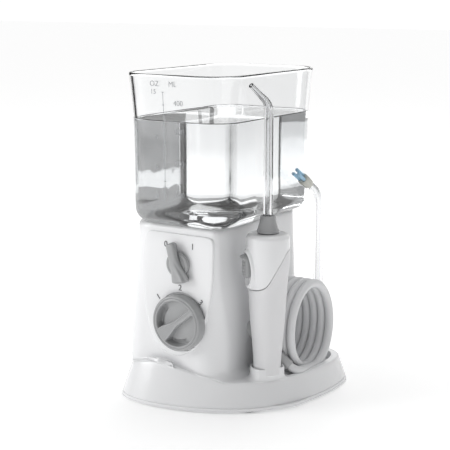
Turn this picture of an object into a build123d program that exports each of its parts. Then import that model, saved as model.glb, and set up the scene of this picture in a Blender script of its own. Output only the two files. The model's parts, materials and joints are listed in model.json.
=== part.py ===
from build123d import *
import math
import os

# Countertop water flosser: a pump base with a clear tank on top, a handle standing in a cup
# on the deck, a spare tip in its pocket and a coiled hose between the base and the handle.
# Millimetres, +Z up, front towards -Y. Origin: the middle of the base, on the surface it stands on.

# ---------------------------------------------------------------- driving dimensions
WALL = 2.5                  # moulded wall of the base and the tower
RUN = 0.05                  # radial clearance of a running fit
GAP = 0.4                   # clearance between pieces of different bodies that don't run on each other
LOOSE = 0.8                 # radial clearance of a piece that is lifted out by hand

# base
BASE_X, BASE_Y = 120.0, 128.0
FOOT_H, FOOT_R = 1.5, 6.0
DECK_Z = 18.4
SKIRT_DRAFT = 15.5          # degrees
FRONT_BOW_R, SIDE_BOW_R, BACK_BOW_R = 105.0, 320.0, 600.0
FRONT_BOW_X = -28.0         # where the front bow is furthest forward
CORNER_R, FRONT_CORNER_R = 22.0, 30.0
COVER_T = 2.0
HILL_Z, HILL_X = 29.4, -11.0
HILL_LEFT, HILL_RIGHT = -52.0, 32.0
FOOT_PLACES = [(-46.0, -44.0), (30.0, -34.0), (46.0, 46.0), (-46.0, 50.0)]
SCREW_PLACES = [(-50.0, -30.0), (-50.0, 34.0), (20.0, -36.0), (51.0, 28.0), (8.0, 56.0)]
SCREW_R, SCREW_HEAD_R, SCREW_POST_TOP = 1.5, 2.8, 16.4
INLET_X, INLET_Z, INLET_R = -30.0, 9.5, 4.5

# tower
TOWER_TOP = 113.0
TOWER_FOOT = (-55.0, 19.0, -51.0, 56.0)     # x from, x to, y from, y to at the deck
TOWER_HEAD = (-48.5, 16.5, -48.0, 54.0)     # the same at the top
TOWER_R = 15.0
SOCKET_R = 10.5               # the socket that takes the tank's valve
FACE_T = 1.3                # how far the shield-shaped face stands out of the front wall

# controls
DIAL_X, DIAL_Z, DIAL_R, DIAL_H = -7.5, 54.3, 17.5, 7.0
DIAL_SHAFT_R = 3.0
SWITCH_X, SWITCH_Z, SWITCH_R, SWITCH_H = -9.5, 90.0, 8.0, 5.0
SWITCH_SHAFT_R = 2.5
LEVER_UP, LEVER_DOWN, LEVER_W = 14.0, 14.5, 5.0

# tank
TANK_X, TANK_Y = -11.0, 1.5
TANK_W, TANK_D, TANK_R = 74.0, 112.0, 18.0
TANK_H = 92.0
TANK_WALL, TANK_FLOOR = 2.0, 2.5
TANK_EDGE_R = 9.0
FLARE, FLARE_FROM, FLARE_H = 3.0, 60.0, 9.0
VALVE_BORE_R, VALVE_FLANGE_R, VALVE_DEPTH = 6.0, 8.5, 7.0
POPPET_R, POPPET_LIFT = 4.6, 2.5

# handle and its cup
HANDLE_X, HANDLE_Y = 36.0, -21.0
HANDLE_BOTTOM, HANDLE_TOP = 20.8, 109.4
HANDLE_WALL = 2.0
HANDLE_PROFILE = [(8.5, 20.8), (8.6, 29.0), (9.5, 42.0), (10.6, 54.0), (11.4, 67.0), (12.3, 80.0),
                  (13.3, 91.0), (13.3, 105.0)]
HANDLE_EDGE_R = 3.0
CUP_R, CUP_RIM, CUP_FLOOR = 10.6, 25.8, 20.4
SLIDER_DIR = 232.0          # compass of the slider's face about the handle, degrees from +X
SLIDER_Z, SLIDER_L, SLIDER_W, SLIDER_TRAVEL = 90.0, 14.0, 8.0, 4.0
BUTTON_Z, BUTTON_L, BUTTON_W, BUTTON_TRAVEL = 104.0, 8.0, 9.0, 1.5
SPRING_R, SPRING_WIRE, SPRING_IN_BUTTON = 1.5, 0.3, 2.6
COLLAR_H, COLLAR_R, COLLAR_TOP_R, COLLAR_SPIGOT_R = 10.5, 6.9, 4.6, 4.4

# tips
TIP_R, TIP_END_R, TIP_BORE_R = 3.0, 1.6, 1.1
TIP_BEND_Z, TIP_RISE, TIP_REACH = 187.5, 11.8, 14.6
TIP_DIR = 255.0
STORE_X, STORE_Y = 31.4, 51.0
STORE_R, STORE_HEAD_R, STORE_BORE_R = 3.4, 3.6, 1.4
STORE_BEND_Z, STORE_RISE, STORE_REACH, STORE_DIR = 123.5, 17.5, 31.0, 270.0
STORE_COLLAR_L, BRISTLE_L, BRISTLE_R = 10.0, 10.0, 1.1

# hose
HOSE_R = 2.7
COIL_X_IN, COIL_PITCH, COIL_TURNS = 22.2, 5.5, 5
COIL_Y, COIL_Z, COIL_RY, COIL_RZ = 19.5, 44.0, 26.5, 29.7
WELL_Z, WELL_BACK = 13.0, 50.0
SLEEVE_FROM, SLEEVE_TO = (10.0, -15.2, 52.1), (43.0, -5.5, 22.6)
SLEEVE_R, SLEEVE_END_R = 3.9, 3.3
SLEEVE_FLANGE, SLEEVE_FLANGE_T = 0.5, 1.6
NOTCH_DIR = 75.0            # compass of the cup's notch, where the hose comes out
HOSE_OUT = [SLEEVE_TO, (45.9, -4.6, 20.6), (47.6, -0.9, 19.4), (47.2, 3.4, 18.6), (45.2, 8.4, 17.6)]
HOSE_IN = [(39.44, -8.15, 16.0), (40.3, -4.9, 15.9), (39.6, -1.2, 15.9), (37.3, 2.0, 16.2), (34.2, 4.9, 17.0)]

# drive
GEAR_X, GEAR_Z = -13.0, 42.0
PLATE_Y, PLATE_T = -12.0, 3.0
MODULE, PINION_TEETH, GEAR_TEETH = 1.0, 10, 40
GEAR_T = 5.0
MOTOR_R, MOTOR_L = 13.0, 38.0
AXLE_R, PINION_SHAFT_R = 2.0, 1.2
CRANK_R, CRANK_PIN_R = 3.0, 1.6
ROD_L, ROD_EYE_R, ROD_T = 26.0, 3.2, 3.0
PISTON_R, CROSSHEAD_R = 5.0, 8.6
PUMP_R = 9.0

os.makedirs("parts", exist_ok=True)


# ---------------------------------------------------------------- helpers
def save(name, shape):
    """One named piece: a solid, or a few separate solids."""
    solids = [shape] if isinstance(shape, Solid) else list(shape.solids())
    body = solids[0] if len(solids) == 1 else Compound(children=solids)
    body.label = name
    export_step(body, f"parts/{name}.step")


def rod_z(radius, z_from, z_to, x=0.0, y=0.0):
    return Pos(x, y, z_from) * Cylinder(radius, z_to - z_from, align=(Align.CENTER, Align.CENTER, Align.MIN))


def rod_y(radius, y_from, y_to, x=0.0, z=0.0):
    """A cylinder along Y."""
    turned = Rot(-90, 0, 0) * Cylinder(radius, y_to - y_from, align=(Align.CENTER, Align.CENTER, Align.MIN))
    return Pos(x, y_from, z) * turned


def block(x_from, x_to, y_from, y_to, z_from, z_to):
    solid = Box(x_to - x_from, y_to - y_from, z_to - z_from)
    return Pos((x_from + x_to) / 2, (y_from + y_to) / 2, (z_from + z_to) / 2) * solid


def plan_rectangle(bounds, radius, inset=0.0):
    """A rounded rectangle in plan, from (x from, x to, y from, y to)."""
    x0, x1, y0, y1 = bounds
    shape = RectangleRounded(x1 - x0 - 2 * inset, y1 - y0 - 2 * inset, radius - inset)
    return Pos((x0 + x1) / 2, (y0 + y1) / 2) * shape


def base_plan(inset=0.0):
    """The plan of the base: where four large discs overlap, with the corners rounded."""
    front = Pos(FRONT_BOW_X, -BASE_Y / 2 + FRONT_BOW_R) * Circle(FRONT_BOW_R - inset)
    right = Pos(BASE_X / 2 - SIDE_BOW_R, 20) * Circle(SIDE_BOW_R - inset)
    left = Pos(SIDE_BOW_R * 2 - BASE_X / 2, 0) * Circle(SIDE_BOW_R * 2 - inset)
    back = Pos(0, BASE_Y / 2 - BACK_BOW_R) * Circle(BACK_BOW_R - inset)
    face = (front & right & left & back).faces()[0]
    corners = face.vertices()
    front_right = corners.filter_by(lambda v: v.X > 0 and v.Y < 0)
    rest = corners.filter_by(lambda v: not (v.X > 0 and v.Y < 0))
    face = fillet(face.vertices() if not front_right else rest, CORNER_R - inset)
    again = face.vertices().filter_by(lambda v: abs(v.X - front_right[0].X) < 1e-3)
    return fillet(again, FRONT_CORNER_R - inset)


def compass(degrees):
    return math.cos(math.radians(degrees)), math.sin(math.radians(degrees))


def local_frame(x, y, degrees):
    """A frame whose X points along the compass and whose Z is up."""
    return Pos(x, y, 0) * Rot(0, 0, degrees)


def corner_radii(points):
    """The radius at each inner point: 0.45 of the shorter run over the tangent of half the turn."""
    radii = []
    for before, here, after in zip(points, points[1:], points[2:]):
        run_in = Vector(*here) - Vector(*before)
        run_out = Vector(*after) - Vector(*here)
        turn = math.radians(run_in.get_angle(run_out))
        radii.append(0.45 * min(run_in.length, run_out.length) / math.tan(turn / 2))
    return radii


def hose_tube(name, points):
    """The plain tube of a stretch of hose: straight runs joined by tangent arcs."""
    radii = corner_radii(points)
    path = FilletPolyline(*points, radius=radii)
    start = Plane(origin=points[0], z_dir=path % 0)
    tube = sweep(start * Circle(HOSE_R), path=path)
    expected = math.pi * HOSE_R ** 2 * path.length
    print(name, "radii", [round(r, 1) for r in radii], "length", round(path.length, 1),
          "volume ratio", round(tube.volume / expected, 4))
    return tube


def gear_outline(teeth, phase):
    """Straight-flanked teeth of MODULE, thinned for backlash."""
    pitch_r = MODULE * teeth / 2
    root_r = pitch_r - 1.2 * MODULE
    top_r = pitch_r + 0.8 * MODULE
    points = []
    for tooth in range(teeth):
        middle = phase + 2 * math.pi * tooth / teeth
        step = math.pi / teeth
        for share, radius in ((-0.55, root_r), (-0.22, top_r), (0.22, top_r), (0.55, root_r)):
            angle = middle + share * step
            points.append((radius * math.cos(angle), radius * math.sin(angle)))
    return make_face(Polyline(*points, close=True))


# ---------------------------------------------------------------- base
def base_pieces():
    skirt_h = DECK_Z - FOOT_H
    outer = Pos(0, 0, FOOT_H) * extrude(base_plan(), skirt_h, taper=SKIRT_DRAFT)
    hill_h = HILL_Z - FOOT_H
    crest = Pos(0, 0, FOOT_H) * extrude(base_plan(), hill_h, taper=SKIRT_DRAFT)
    ridge = Spline((HILL_LEFT, DECK_Z), (HILL_X, HILL_Z), (HILL_RIGHT, DECK_Z), tangents=[(1, 0), (1, 0)])
    under = make_face([ridge.edge(), Line(ridge @ 1, ridge @ 0)])
    front_only = Plane.XZ * under
    hill = extrude(front_only, BASE_Y) & crest
    hill -= block(-BASE_X, BASE_X, TOWER_FOOT[2], BASE_Y, 0, HILL_Z + 1)
    outer += hill
    inner = Pos(0, 0, FOOT_H) * extrude(base_plan(WALL), skirt_h - WALL, taper=SKIRT_DRAFT)
    tray = outer - inner
    inset_deck = skirt_h * math.tan(math.radians(SKIRT_DRAFT))

    # the well under the coil: a pan let into the deck
    pan_from = COIL_X_IN - HOSE_R - GAP / 2
    well = base_plan(inset_deck + 3.6) & (Pos(BASE_X / 2 + pan_from, 0) * Rectangle(BASE_X, BASE_Y))
    well = (well & (Pos(0, (WELL_BACK + HANDLE_Y) / 2) * Rectangle(BASE_X, WELL_BACK - HANDLE_Y))).faces()[0]
    tray += extrude(Pos(0, 0, WELL_Z - 2.0) * well, DECK_Z - WELL_Z - 1.0)
    tray -= extrude(Pos(0, 0, WELL_Z) * well, DECK_Z)

    # the cup that the handle stands in, and the post of the spare tip's pocket
    pillar_bottom = FOOT_H + COVER_T + GAP
    tray += rod_z(CUP_R, pillar_bottom, CUP_RIM, HANDLE_X, HANDLE_Y)
    post_r = STORE_R + LOOSE + 2.0
    tray += rod_z(post_r, pillar_bottom, DECK_Z, STORE_X, STORE_Y)

    # the bore of the cup, its notch for the hose and the pocket of the spare tip
    tray -= rod_z(HANDLE_PROFILE[0][0] + LOOSE, CUP_FLOOR, CUP_RIM + 1, HANDLE_X, HANDLE_Y)
    notch_w = 2 * (HOSE_R + GAP)
    notch = local_frame(HANDLE_X, HANDLE_Y, NOTCH_DIR) * block(0, CUP_R + 4, -notch_w / 2, notch_w / 2, WELL_Z,
                                                                CUP_RIM + 1)
    tray -= notch
    tray -= rod_z(HOSE_R + GAP, WELL_Z, CUP_RIM, HANDLE_X, HANDLE_Y)
    pocket_bottom = FOOT_H + COVER_T + 2.0
    tray -= rod_z(STORE_R + LOOSE, pocket_bottom, DECK_Z + 1, STORE_X, STORE_Y)

    # the opening under the tower
    opening = plan_rectangle(TOWER_FOOT, TOWER_R, WALL + 2.0)
    tray -= extrude(Pos(0, 0, DECK_Z - WALL - 1) * opening, HILL_Z)

    # the bore of the mains inlet through the back skirt
    tray -= rod_y(INLET_R, BASE_Y / 2 - 12, BASE_Y / 2 + 1, INLET_X, INLET_Z)
    for x, y in SCREW_PLACES:
        tray += rod_z(SCREW_R + 1.8, FOOT_H + COVER_T, SCREW_POST_TOP, x, y)
        tray -= rod_z(SCREW_R - 0.2, FOOT_H, SCREW_POST_TOP - 3, x, y)
    save("base_tray", tray)

    draft_in = COVER_T * math.tan(math.radians(SKIRT_DRAFT))
    cover = extrude(Pos(0, 0, FOOT_H) * base_plan(WALL + GAP + draft_in), COVER_T)
    for x, y in SCREW_PLACES:
        cover -= rod_z(SCREW_R + 0.3, FOOT_H - 1, FOOT_H + COVER_T + 1, x, y)
        cover -= rod_z(SCREW_HEAD_R + 0.3, FOOT_H - 1, FOOT_H + 1.0, x, y)
    save("bottom_cover", cover)

    feet = [rod_z(FOOT_R, 0, FOOT_H, x, y) for x, y in FOOT_PLACES]
    save("rubber_feet", Compound(children=[fillet(f.edges().group_by(Axis.Z)[0], 0.6).solid() for f in feet]))

    screws = []
    for x, y in SCREW_PLACES:
        screw = rod_z(SCREW_HEAD_R, FOOT_H + 0.1, FOOT_H + 1.0, x, y) + rod_z(SCREW_R - 0.25, FOOT_H + 1.0, 12.0, x, y)
        screw -= Pos(x, y, FOOT_H) * Box(3.2, 0.8, 1.2)
        screw -= Pos(x, y, FOOT_H) * Box(0.8, 3.2, 1.2)
        screws.append(screw.solid())
    save("cover_screws", Compound(children=screws))

    bushing = rod_y(INLET_R, BASE_Y / 2 - 10, BASE_Y / 2 - 3.2, INLET_X, INLET_Z)
    bushing += rod_y(INLET_R + 1.5, BASE_Y / 2 - 10, BASE_Y / 2 - 8, INLET_X, INLET_Z)
    bushing -= rod_y(2.6, BASE_Y / 2 - 11, BASE_Y / 2, INLET_X, INLET_Z)
    save("mains_inlet_bushing", bushing)


# ---------------------------------------------------------------- tower
def tower_section(share, inset=0.0):
    """The plan of the tower at a share of its height, from the foot to the head."""
    bounds = [a + (b - a) * share for a, b in zip(TOWER_FOOT, TOWER_HEAD)]
    return plan_rectangle(bounds, TOWER_R, inset)


def front_wall_y(z):
    share = (z - DECK_Z) / (TOWER_TOP - DECK_Z)
    return TOWER_FOOT[2] + (TOWER_HEAD[2] - TOWER_FOOT[2]) * share


def shield_outline():
    """The shield-shaped face: square shoulders at the top, narrowing to a tongue round the dial."""
    corners = [(-34.5, 108.5), (15.0, 108.5), (15.0, 71.0), (10.0, 52.0), (6.0, 40.0), (-10.0, 31.0), (-25.0, 35.0),
               (-34.0, 52.0), (-38.0, 86.0)]
    face = make_face(Polyline(*corners, close=True))
    return fillet(face.vertices(), 4.0)


def tower_pieces():
    height = TOWER_TOP - DECK_Z
    outer = loft([Pos(0, 0, DECK_Z) * tower_section(0), Pos(0, 0, TOWER_TOP) * tower_section(1)], ruled=True)
    outer = fillet(outer.faces().sort_by(Axis.Z)[-1].edges(), 3.0)
    top_inner = 1 - WALL / height
    inner = loft([Pos(0, 0, DECK_Z) * tower_section(0, WALL),
                  Pos(0, 0, TOWER_TOP - WALL) * tower_section(top_inner, WALL)], ruled=True)
    tilt = math.degrees(math.atan((TOWER_HEAD[2] - TOWER_FOOT[2]) / height))
    shield = extrude(Plane.XZ * shield_outline(), FACE_T + WALL)
    shield = Pos(0, TOWER_FOOT[2] + WALL, DECK_Z) * Rot(-tilt, 0, 0) * Pos(0, 0, -DECK_Z) * shield
    housing = outer + (shield - inner) - inner
    dial_front = front_wall_y(DIAL_Z) - FACE_T
    housing -= rod_y(DIAL_R + GAP + 0.4, dial_front - 3, dial_front + 1.2, DIAL_X, DIAL_Z)
    housing -= rod_y(DIAL_SHAFT_R + 1.0, -BASE_Y / 2, 0, DIAL_X, DIAL_Z)
    housing -= rod_y(SWITCH_SHAFT_R + 1.0, -BASE_Y / 2, 0, SWITCH_X, SWITCH_Z)
    housing -= rod_z(SOCKET_R, TOWER_TOP - WALL - 1, TOWER_TOP + 1, TANK_X, TANK_Y)
    sleeve_axis = Vector(*SLEEVE_TO) - Vector(*SLEEVE_FROM)
    sleeve_hole = Plane(origin=SLEEVE_FROM, z_dir=sleeve_axis) * Cylinder(SLEEVE_R, 60)
    housing -= sleeve_hole
    save("tower_housing", housing)

    cup = rod_z(SOCKET_R, TOWER_TOP - 11, TOWER_TOP - 1.5, TANK_X, TANK_Y)
    cup -= rod_z(VALVE_FLANGE_R + GAP, TOWER_TOP - 9, TOWER_TOP, TANK_X, TANK_Y)
    cup += rod_z(SOCKET_R + 1.5, TOWER_TOP - 11, TOWER_TOP - WALL - 1.5, TANK_X, TANK_Y)
    cup -= rod_z(VALVE_FLANGE_R + GAP, TOWER_TOP - 9, TOWER_TOP, TANK_X, TANK_Y)
    cup += rod_z(3.0, TOWER_TOP - 17, TOWER_TOP - 10, TANK_X, TANK_Y)
    cup -= rod_z(1.6, TOWER_TOP - 18, TOWER_TOP - 9, TANK_X, TANK_Y)
    save("tank_socket", cup)

    axis = Plane(origin=SLEEVE_FROM, z_dir=sleeve_axis)
    sleeve = axis * Pos(0, 0, sleeve_axis.length / 2) * Cone(SLEEVE_R, SLEEVE_END_R, sleeve_axis.length)
    sleeve += axis * Pos(0, 0, SLEEVE_FLANGE_T / 2) * Cylinder(SLEEVE_R + SLEEVE_FLANGE, SLEEVE_FLANGE_T)
    sleeve -= axis * Pos(0, 0, sleeve_axis.length / 2 - 4) * Cylinder(1.6, sleeve_axis.length)
    save("hose_sleeve", sleeve)


# ---------------------------------------------------------------- controls
def control_pieces():
    dial_front = front_wall_y(DIAL_Z) - FACE_T
    face = dial_front + 1.2 - GAP
    dial = rod_y(DIAL_R, face - DIAL_H, face, DIAL_X, DIAL_Z)
    dial = fillet(dial.edges().sort_by(Axis.Y)[0], 2.0)
    grip_w = 9.0
    scoop = rod_y(DIAL_R - 3.0, face - DIAL_H - 1, face - 2.5, DIAL_X, DIAL_Z)
    bar = Pos(DIAL_X, face - DIAL_H / 2, DIAL_Z) * Rot(0, -38, 0) * Box(3 * DIAL_R, DIAL_H + 4, grip_w)
    dial -= scoop - bar
    save("pressure_dial", dial)
    stem_back = front_wall_y(DIAL_Z) + WALL + 2 * GAP + 12
    save("regulator_stem", rod_y(DIAL_SHAFT_R, face, stem_back, DIAL_X, DIAL_Z))

    body_y = front_wall_y(DIAL_Z) + WALL + 2 * GAP
    regulator = rod_y(8.0, body_y, body_y + 16, DIAL_X, DIAL_Z)
    regulator -= rod_y(DIAL_SHAFT_R + RUN, body_y - 1, body_y + 12 + GAP, DIAL_X, DIAL_Z)
    regulator += block(DIAL_X - 2.5, DIAL_X + 2.5, body_y + 4, body_y + 9, DIAL_Z + 7, DIAL_Z + 14)
    save("regulator_body", regulator)

    switch_front = front_wall_y(SWITCH_Z) - FACE_T
    knob = rod_y(SWITCH_R, switch_front - 3.0, switch_front - GAP, SWITCH_X, SWITCH_Z)
    lever = SlotCenterToCenter(LEVER_UP + LEVER_DOWN - LEVER_W, LEVER_W)
    lever = Rot(0, 0, 90) * lever
    middle = (LEVER_UP - LEVER_DOWN) / 2
    arm = Pos(SWITCH_X, switch_front - SWITCH_H - 2.0, SWITCH_Z + middle) * Rot(90, 0, 0) * extrude(lever, -6.0)
    arm = Pos(SWITCH_X, 0, SWITCH_Z) * Rot(0, -14, 0) * Pos(-SWITCH_X, 0, -SWITCH_Z) * arm
    save("power_lever", knob + arm)
    switch_y = front_wall_y(SWITCH_Z) + WALL + 2 * GAP
    save("power_spindle", rod_y(SWITCH_SHAFT_R, switch_front - GAP, switch_y + 8, SWITCH_X, SWITCH_Z))
    switch = block(SWITCH_X - 9, SWITCH_X + 9, switch_y, switch_y + 14, SWITCH_Z - 9, SWITCH_Z + 9)
    switch -= rod_y(SWITCH_SHAFT_R + RUN, switch_y - 1, switch_y + 8 + GAP, SWITCH_X, SWITCH_Z)
    save("rotary_switch", switch)


# ---------------------------------------------------------------- tank
def tank_shell(inset, floor):
    """The tank's outline as a solid, drawn in by the inset, from the floor height to past the rim."""
    widths = (TANK_W - 2 * inset, TANK_D - 2 * inset)
    flared = (widths[0] + 2 * FLARE, widths[1] + 2 * FLARE)

    def level(size, z, grow=0.0):
        return Pos(TANK_X, TANK_Y, TOWER_TOP + z) * RectangleRounded(*size, TANK_R - inset + grow)

    lower = loft([level(widths, floor), level(widths, FLARE_FROM)], ruled=True)
    edge = max(TANK_EDGE_R - inset, 1.0)
    lower = fillet(lower.faces().sort_by(Axis.Z)[0].edges(), edge)
    middle = loft([level(widths, FLARE_FROM), level(flared, FLARE_FROM + FLARE_H, FLARE)], ruled=True)
    upper = loft([level(flared, FLARE_FROM + FLARE_H, FLARE), level(flared, TANK_H + (1 if inset else 0), FLARE)],
                 ruled=True)
    return lower + middle + upper


def tank_pieces():
    tank = tank_shell(0.0, 0.0) - tank_shell(TANK_WALL, TANK_FLOOR)
    tank -= rod_z(VALVE_BORE_R, TOWER_TOP - 1, TOWER_TOP + 10, TANK_X, TANK_Y)
    save("tank", tank)

    top = TOWER_TOP + TANK_FLOOR
    retainer = rod_z(VALVE_FLANGE_R, TOWER_TOP - VALVE_DEPTH, TOWER_TOP, TANK_X, TANK_Y)
    retainer += rod_z(VALVE_BORE_R, TOWER_TOP, top + 1.5, TANK_X, TANK_Y)
    retainer -= rod_z(POPPET_R + GAP, TOWER_TOP - VALVE_DEPTH + 1.5, top + 2, TANK_X, TANK_Y)
    retainer -= rod_z(1.8, TOWER_TOP - VALVE_DEPTH - 1, top, TANK_X, TANK_Y)
    bar_z = top + 1.5
    retainer += block(TANK_X - VALVE_BORE_R, TANK_X + VALVE_BORE_R, TANK_Y - 1, TANK_Y + 1, bar_z - 1.2, bar_z)
    save("tank_valve_body", retainer)
    ring = Pos(TANK_X, TANK_Y, TOWER_TOP - 4) * Torus(VALVE_FLANGE_R - 0.3, 0.65)
    save("tank_valve_oring", ring - rod_z(VALVE_FLANGE_R, TOWER_TOP - 6, TOWER_TOP, TANK_X, TANK_Y))
    seat = TOWER_TOP - VALVE_DEPTH + 1.5
    poppet = rod_z(POPPET_R, seat + 0.2, seat + 2.0, TANK_X, TANK_Y)
    poppet += rod_z(1.4, seat - 2.0, seat + 5.0, TANK_X, TANK_Y)
    save("tank_valve_poppet", poppet)
    spring_from = seat + 2.0
    spring = Pos(TANK_X, TANK_Y, spring_from + 0.45) * coil_spring(3.0, 0.35, bar_z - 1.2 - spring_from - 0.9, 4)
    save("tank_valve_spring", spring)


# ---------------------------------------------------------------- handle
def handle_outline(inset):
    """The turned shape of the handle about its own axis, drawn in by the inset."""
    points = [(max(r - inset, 0.5), z) for r, z in HANDLE_PROFILE]
    top = HANDLE_TOP - inset
    bottom = HANDLE_PROFILE[0][1] + inset
    side = Spline((points[0][0], bottom), *points[1:-1], (points[-1][0], top - HANDLE_EDGE_R))
    edge = Line(side @ 1, (points[-1][0] - HANDLE_EDGE_R, top))
    cap = Line(edge @ 1, (0, top))
    face = make_face([side.edge(), edge.edge(), cap.edge(), Line(cap @ 1, (0, bottom)).edge(),
                      Line((0, bottom), side @ 0).edge()])
    return Pos(HANDLE_X, HANDLE_Y, 0) * revolve(Plane.XZ * face, Axis.Z)


def handle_pieces():
    whole = handle_outline(0.0)
    hollow = handle_outline(HANDLE_WALL)
    at = local_frame(HANDLE_X, HANDLE_Y, SLIDER_DIR)
    big = 2 * HANDLE_PROFILE[-1][0]
    seam = Spline((HANDLE_PROFILE[-1][0] + 1, 76.5), (6.0, 78.5), (-3.0, 91.0), (-9.0, 99.0), (-17.0, 101.5))
    above = make_face([seam.edge(), Line(seam @ 1, (-17, HANDLE_TOP + 2)).edge(),
                       Line((-17, HANDLE_TOP + 2), (HANDLE_PROFILE[-1][0] + 1, HANDLE_TOP + 2)).edge(),
                       Line((HANDLE_PROFILE[-1][0] + 1, HANDLE_TOP + 2), seam @ 0).edge()])
    region = at * extrude(Plane.XZ * above, big / 2 + 2, both=True)
    shell = whole - hollow
    neck = rod_z(COLLAR_SPIGOT_R + RUN, HANDLE_TOP - 12, HANDLE_TOP + 1, HANDLE_X, HANDLE_Y)
    slot_h = SLIDER_L + SLIDER_TRAVEL + 2 * GAP
    slot = at * block(6, big, -2 - GAP, 2 + GAP, SLIDER_Z - SLIDER_TRAVEL - 5, SLIDER_Z + 5)
    window_z = (BUTTON_Z - BUTTON_L / 2 - GAP, BUTTON_Z + BUTTON_L / 2 + GAP)
    window = at * block(-big, -7, -BUTTON_W / 2 - GAP, BUTTON_W / 2 + GAP, *window_z)
    bezel_z = SLIDER_Z - SLIDER_TRAVEL / 2
    bezel_r = HANDLE_PROFILE[-1][0] + 0.6
    oval = Pos(0, bezel_z) * Ellipse(SLIDER_W / 2 + 4.0, slot_h / 2 + 4.2)
    oval -= Pos(0, bezel_z) * Ellipse(SLIDER_W / 2 + 2.4, slot_h / 2 + 2.6)
    bezel = at * Pos(bezel_r - 3.0, 0, 0) * extrude(Plane.YZ * oval, 3.0)
    upper = ((shell & region) + (bezel - whole)) - neck - slot - window
    save("handle_shell", upper)
    grip = shell - region
    grip -= rod_z(HOSE_R + RUN, HANDLE_BOTTOM - 1, HANDLE_BOTTOM + HANDLE_WALL + 1, HANDLE_X, HANDLE_Y)
    grip -= window
    save("handle_grip", grip)

    valve = rod_z(5.0, 60.0, HANDLE_TOP - 22, HANDLE_X, HANDLE_Y)
    valve += rod_z(6.0, HANDLE_TOP - 22, HANDLE_TOP - 4.6, HANDLE_X, HANDLE_Y)
    valve -= rod_z(1.4, 59, HANDLE_TOP - 9, HANDLE_X, HANDLE_Y)
    valve -= rod_z(TIP_R + GAP, HANDLE_TOP - 9.5, HANDLE_TOP, HANDLE_X, HANDLE_Y)
    save("handle_valve", valve)
    pipe = rod_z(1.9, HANDLE_BOTTOM + 4, 60.0, HANDLE_X, HANDLE_Y) - rod_z(1.2, 20, 61, HANDLE_X, HANDLE_Y)
    save("handle_pipe", pipe)

    face_r = HANDLE_PROFILE[-1][0] + 0.5
    pad = at * block(face_r, face_r + 2.2, -SLIDER_W / 2, SLIDER_W / 2, SLIDER_Z - SLIDER_L / 2, SLIDER_Z + SLIDER_L / 2)
    stem = at * block(face_r - 6, face_r, -2, 2, SLIDER_Z - 4, SLIDER_Z + 4)
    ribs = [at * block(face_r + 2.2, face_r + 2.9, -SLIDER_W / 2, SLIDER_W / 2, z, z + 1.0)
            for z in [SLIDER_Z - SLIDER_L / 2 + 1.5 + 2.2 * i for i in range(6)]]
    slider = pad + stem
    for rib in ribs:
        slider += rib
    save("pause_slider", slider)

    plug = whole & (at * block(-big, -9, -BUTTON_W / 2, BUTTON_W / 2, window_z[0] + GAP, window_z[1] - GAP))
    spring_bore = at * Pos(-9, 0, BUTTON_Z) * Rot(0, 90, 0) * Cylinder(SPRING_R + SPRING_WIRE + GAP, 2 * SPRING_IN_BUTTON)
    plug -= spring_bore
    save("tip_release_button", plug)
    spring_from = -9 - SPRING_IN_BUTTON + BUTTON_TRAVEL + SPRING_WIRE + GAP
    spring_to = -6 - SPRING_WIRE - 0.1
    coils = coil_spring(SPRING_R, SPRING_WIRE, spring_to - spring_from, 3)
    spring = at * Pos(spring_from, 0, BUTTON_Z) * Rot(0, 90, 0) * coils
    save("release_spring", spring)

    collar = Pos(HANDLE_X, HANDLE_Y, HANDLE_TOP + GAP + COLLAR_H / 2) * Cone(COLLAR_R, COLLAR_TOP_R, COLLAR_H)
    collar += rod_z(COLLAR_SPIGOT_R, HANDLE_TOP - 4.2, HANDLE_TOP + GAP, HANDLE_X, HANDLE_Y)
    collar -= rod_z(TIP_R + RUN, HANDLE_TOP - 11, HANDLE_TOP + COLLAR_H + 1, HANDLE_X, HANDLE_Y)
    save("tip_collar", collar)

    notch = compass(NOTCH_DIR)
    elbow_z = HOSE_IN[0][2]
    reach = math.hypot(HOSE_IN[0][0] - HANDLE_X, HOSE_IN[0][1] - HANDLE_Y)
    end = (HANDLE_X + (reach - GAP) * notch[0], HANDLE_Y + (reach - GAP) * notch[1], elbow_z)
    path = FilletPolyline((HANDLE_X, HANDLE_Y, HANDLE_BOTTOM + HANDLE_WALL), (HANDLE_X, HANDLE_Y, elbow_z), end,
                          radius=3.2)
    boot = sweep(Plane(origin=path @ 0, z_dir=path % 0) * Circle(HOSE_R), path=path)
    save("hose_boot", boot)


def coil_spring(radius, wire, length, turns):
    """A round-wire compression spring along +Z, as a swept helix."""
    path = Helix(pitch=length / turns, height=length, radius=radius)
    return sweep(Plane(origin=path @ 0, z_dir=path % 0) * Circle(wire), path=path, is_frenet=True)


# ---------------------------------------------------------------- tips
def bent_tube(x, y, degrees, bottom, bend_z, rise, reach, radius, radius_end, bore, bend_r):
    """A tip: a straight tube, a bend and a slimmer end that leans over towards the compass direction."""
    across = compass(degrees)
    bend = (x, y, bend_z)
    end = (x + reach * across[0], y + reach * across[1], bend_z + rise)
    path = FilletPolyline((x, y, bottom), bend, end, radius=bend_r)
    solid = sweep(Plane(origin=path @ 0, z_dir=path % 0) * Circle(radius_end), path=path)
    solid -= sweep(Plane(origin=path @ 0, z_dir=path % 0) * Circle(bore), path=path)
    straight = rod_z(radius, bottom, bend_z - bend_r, x, y) - rod_z(bore, bottom - 1, bend_z, x, y)
    return solid + straight, Vector(*bend), Vector(*end)


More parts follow.
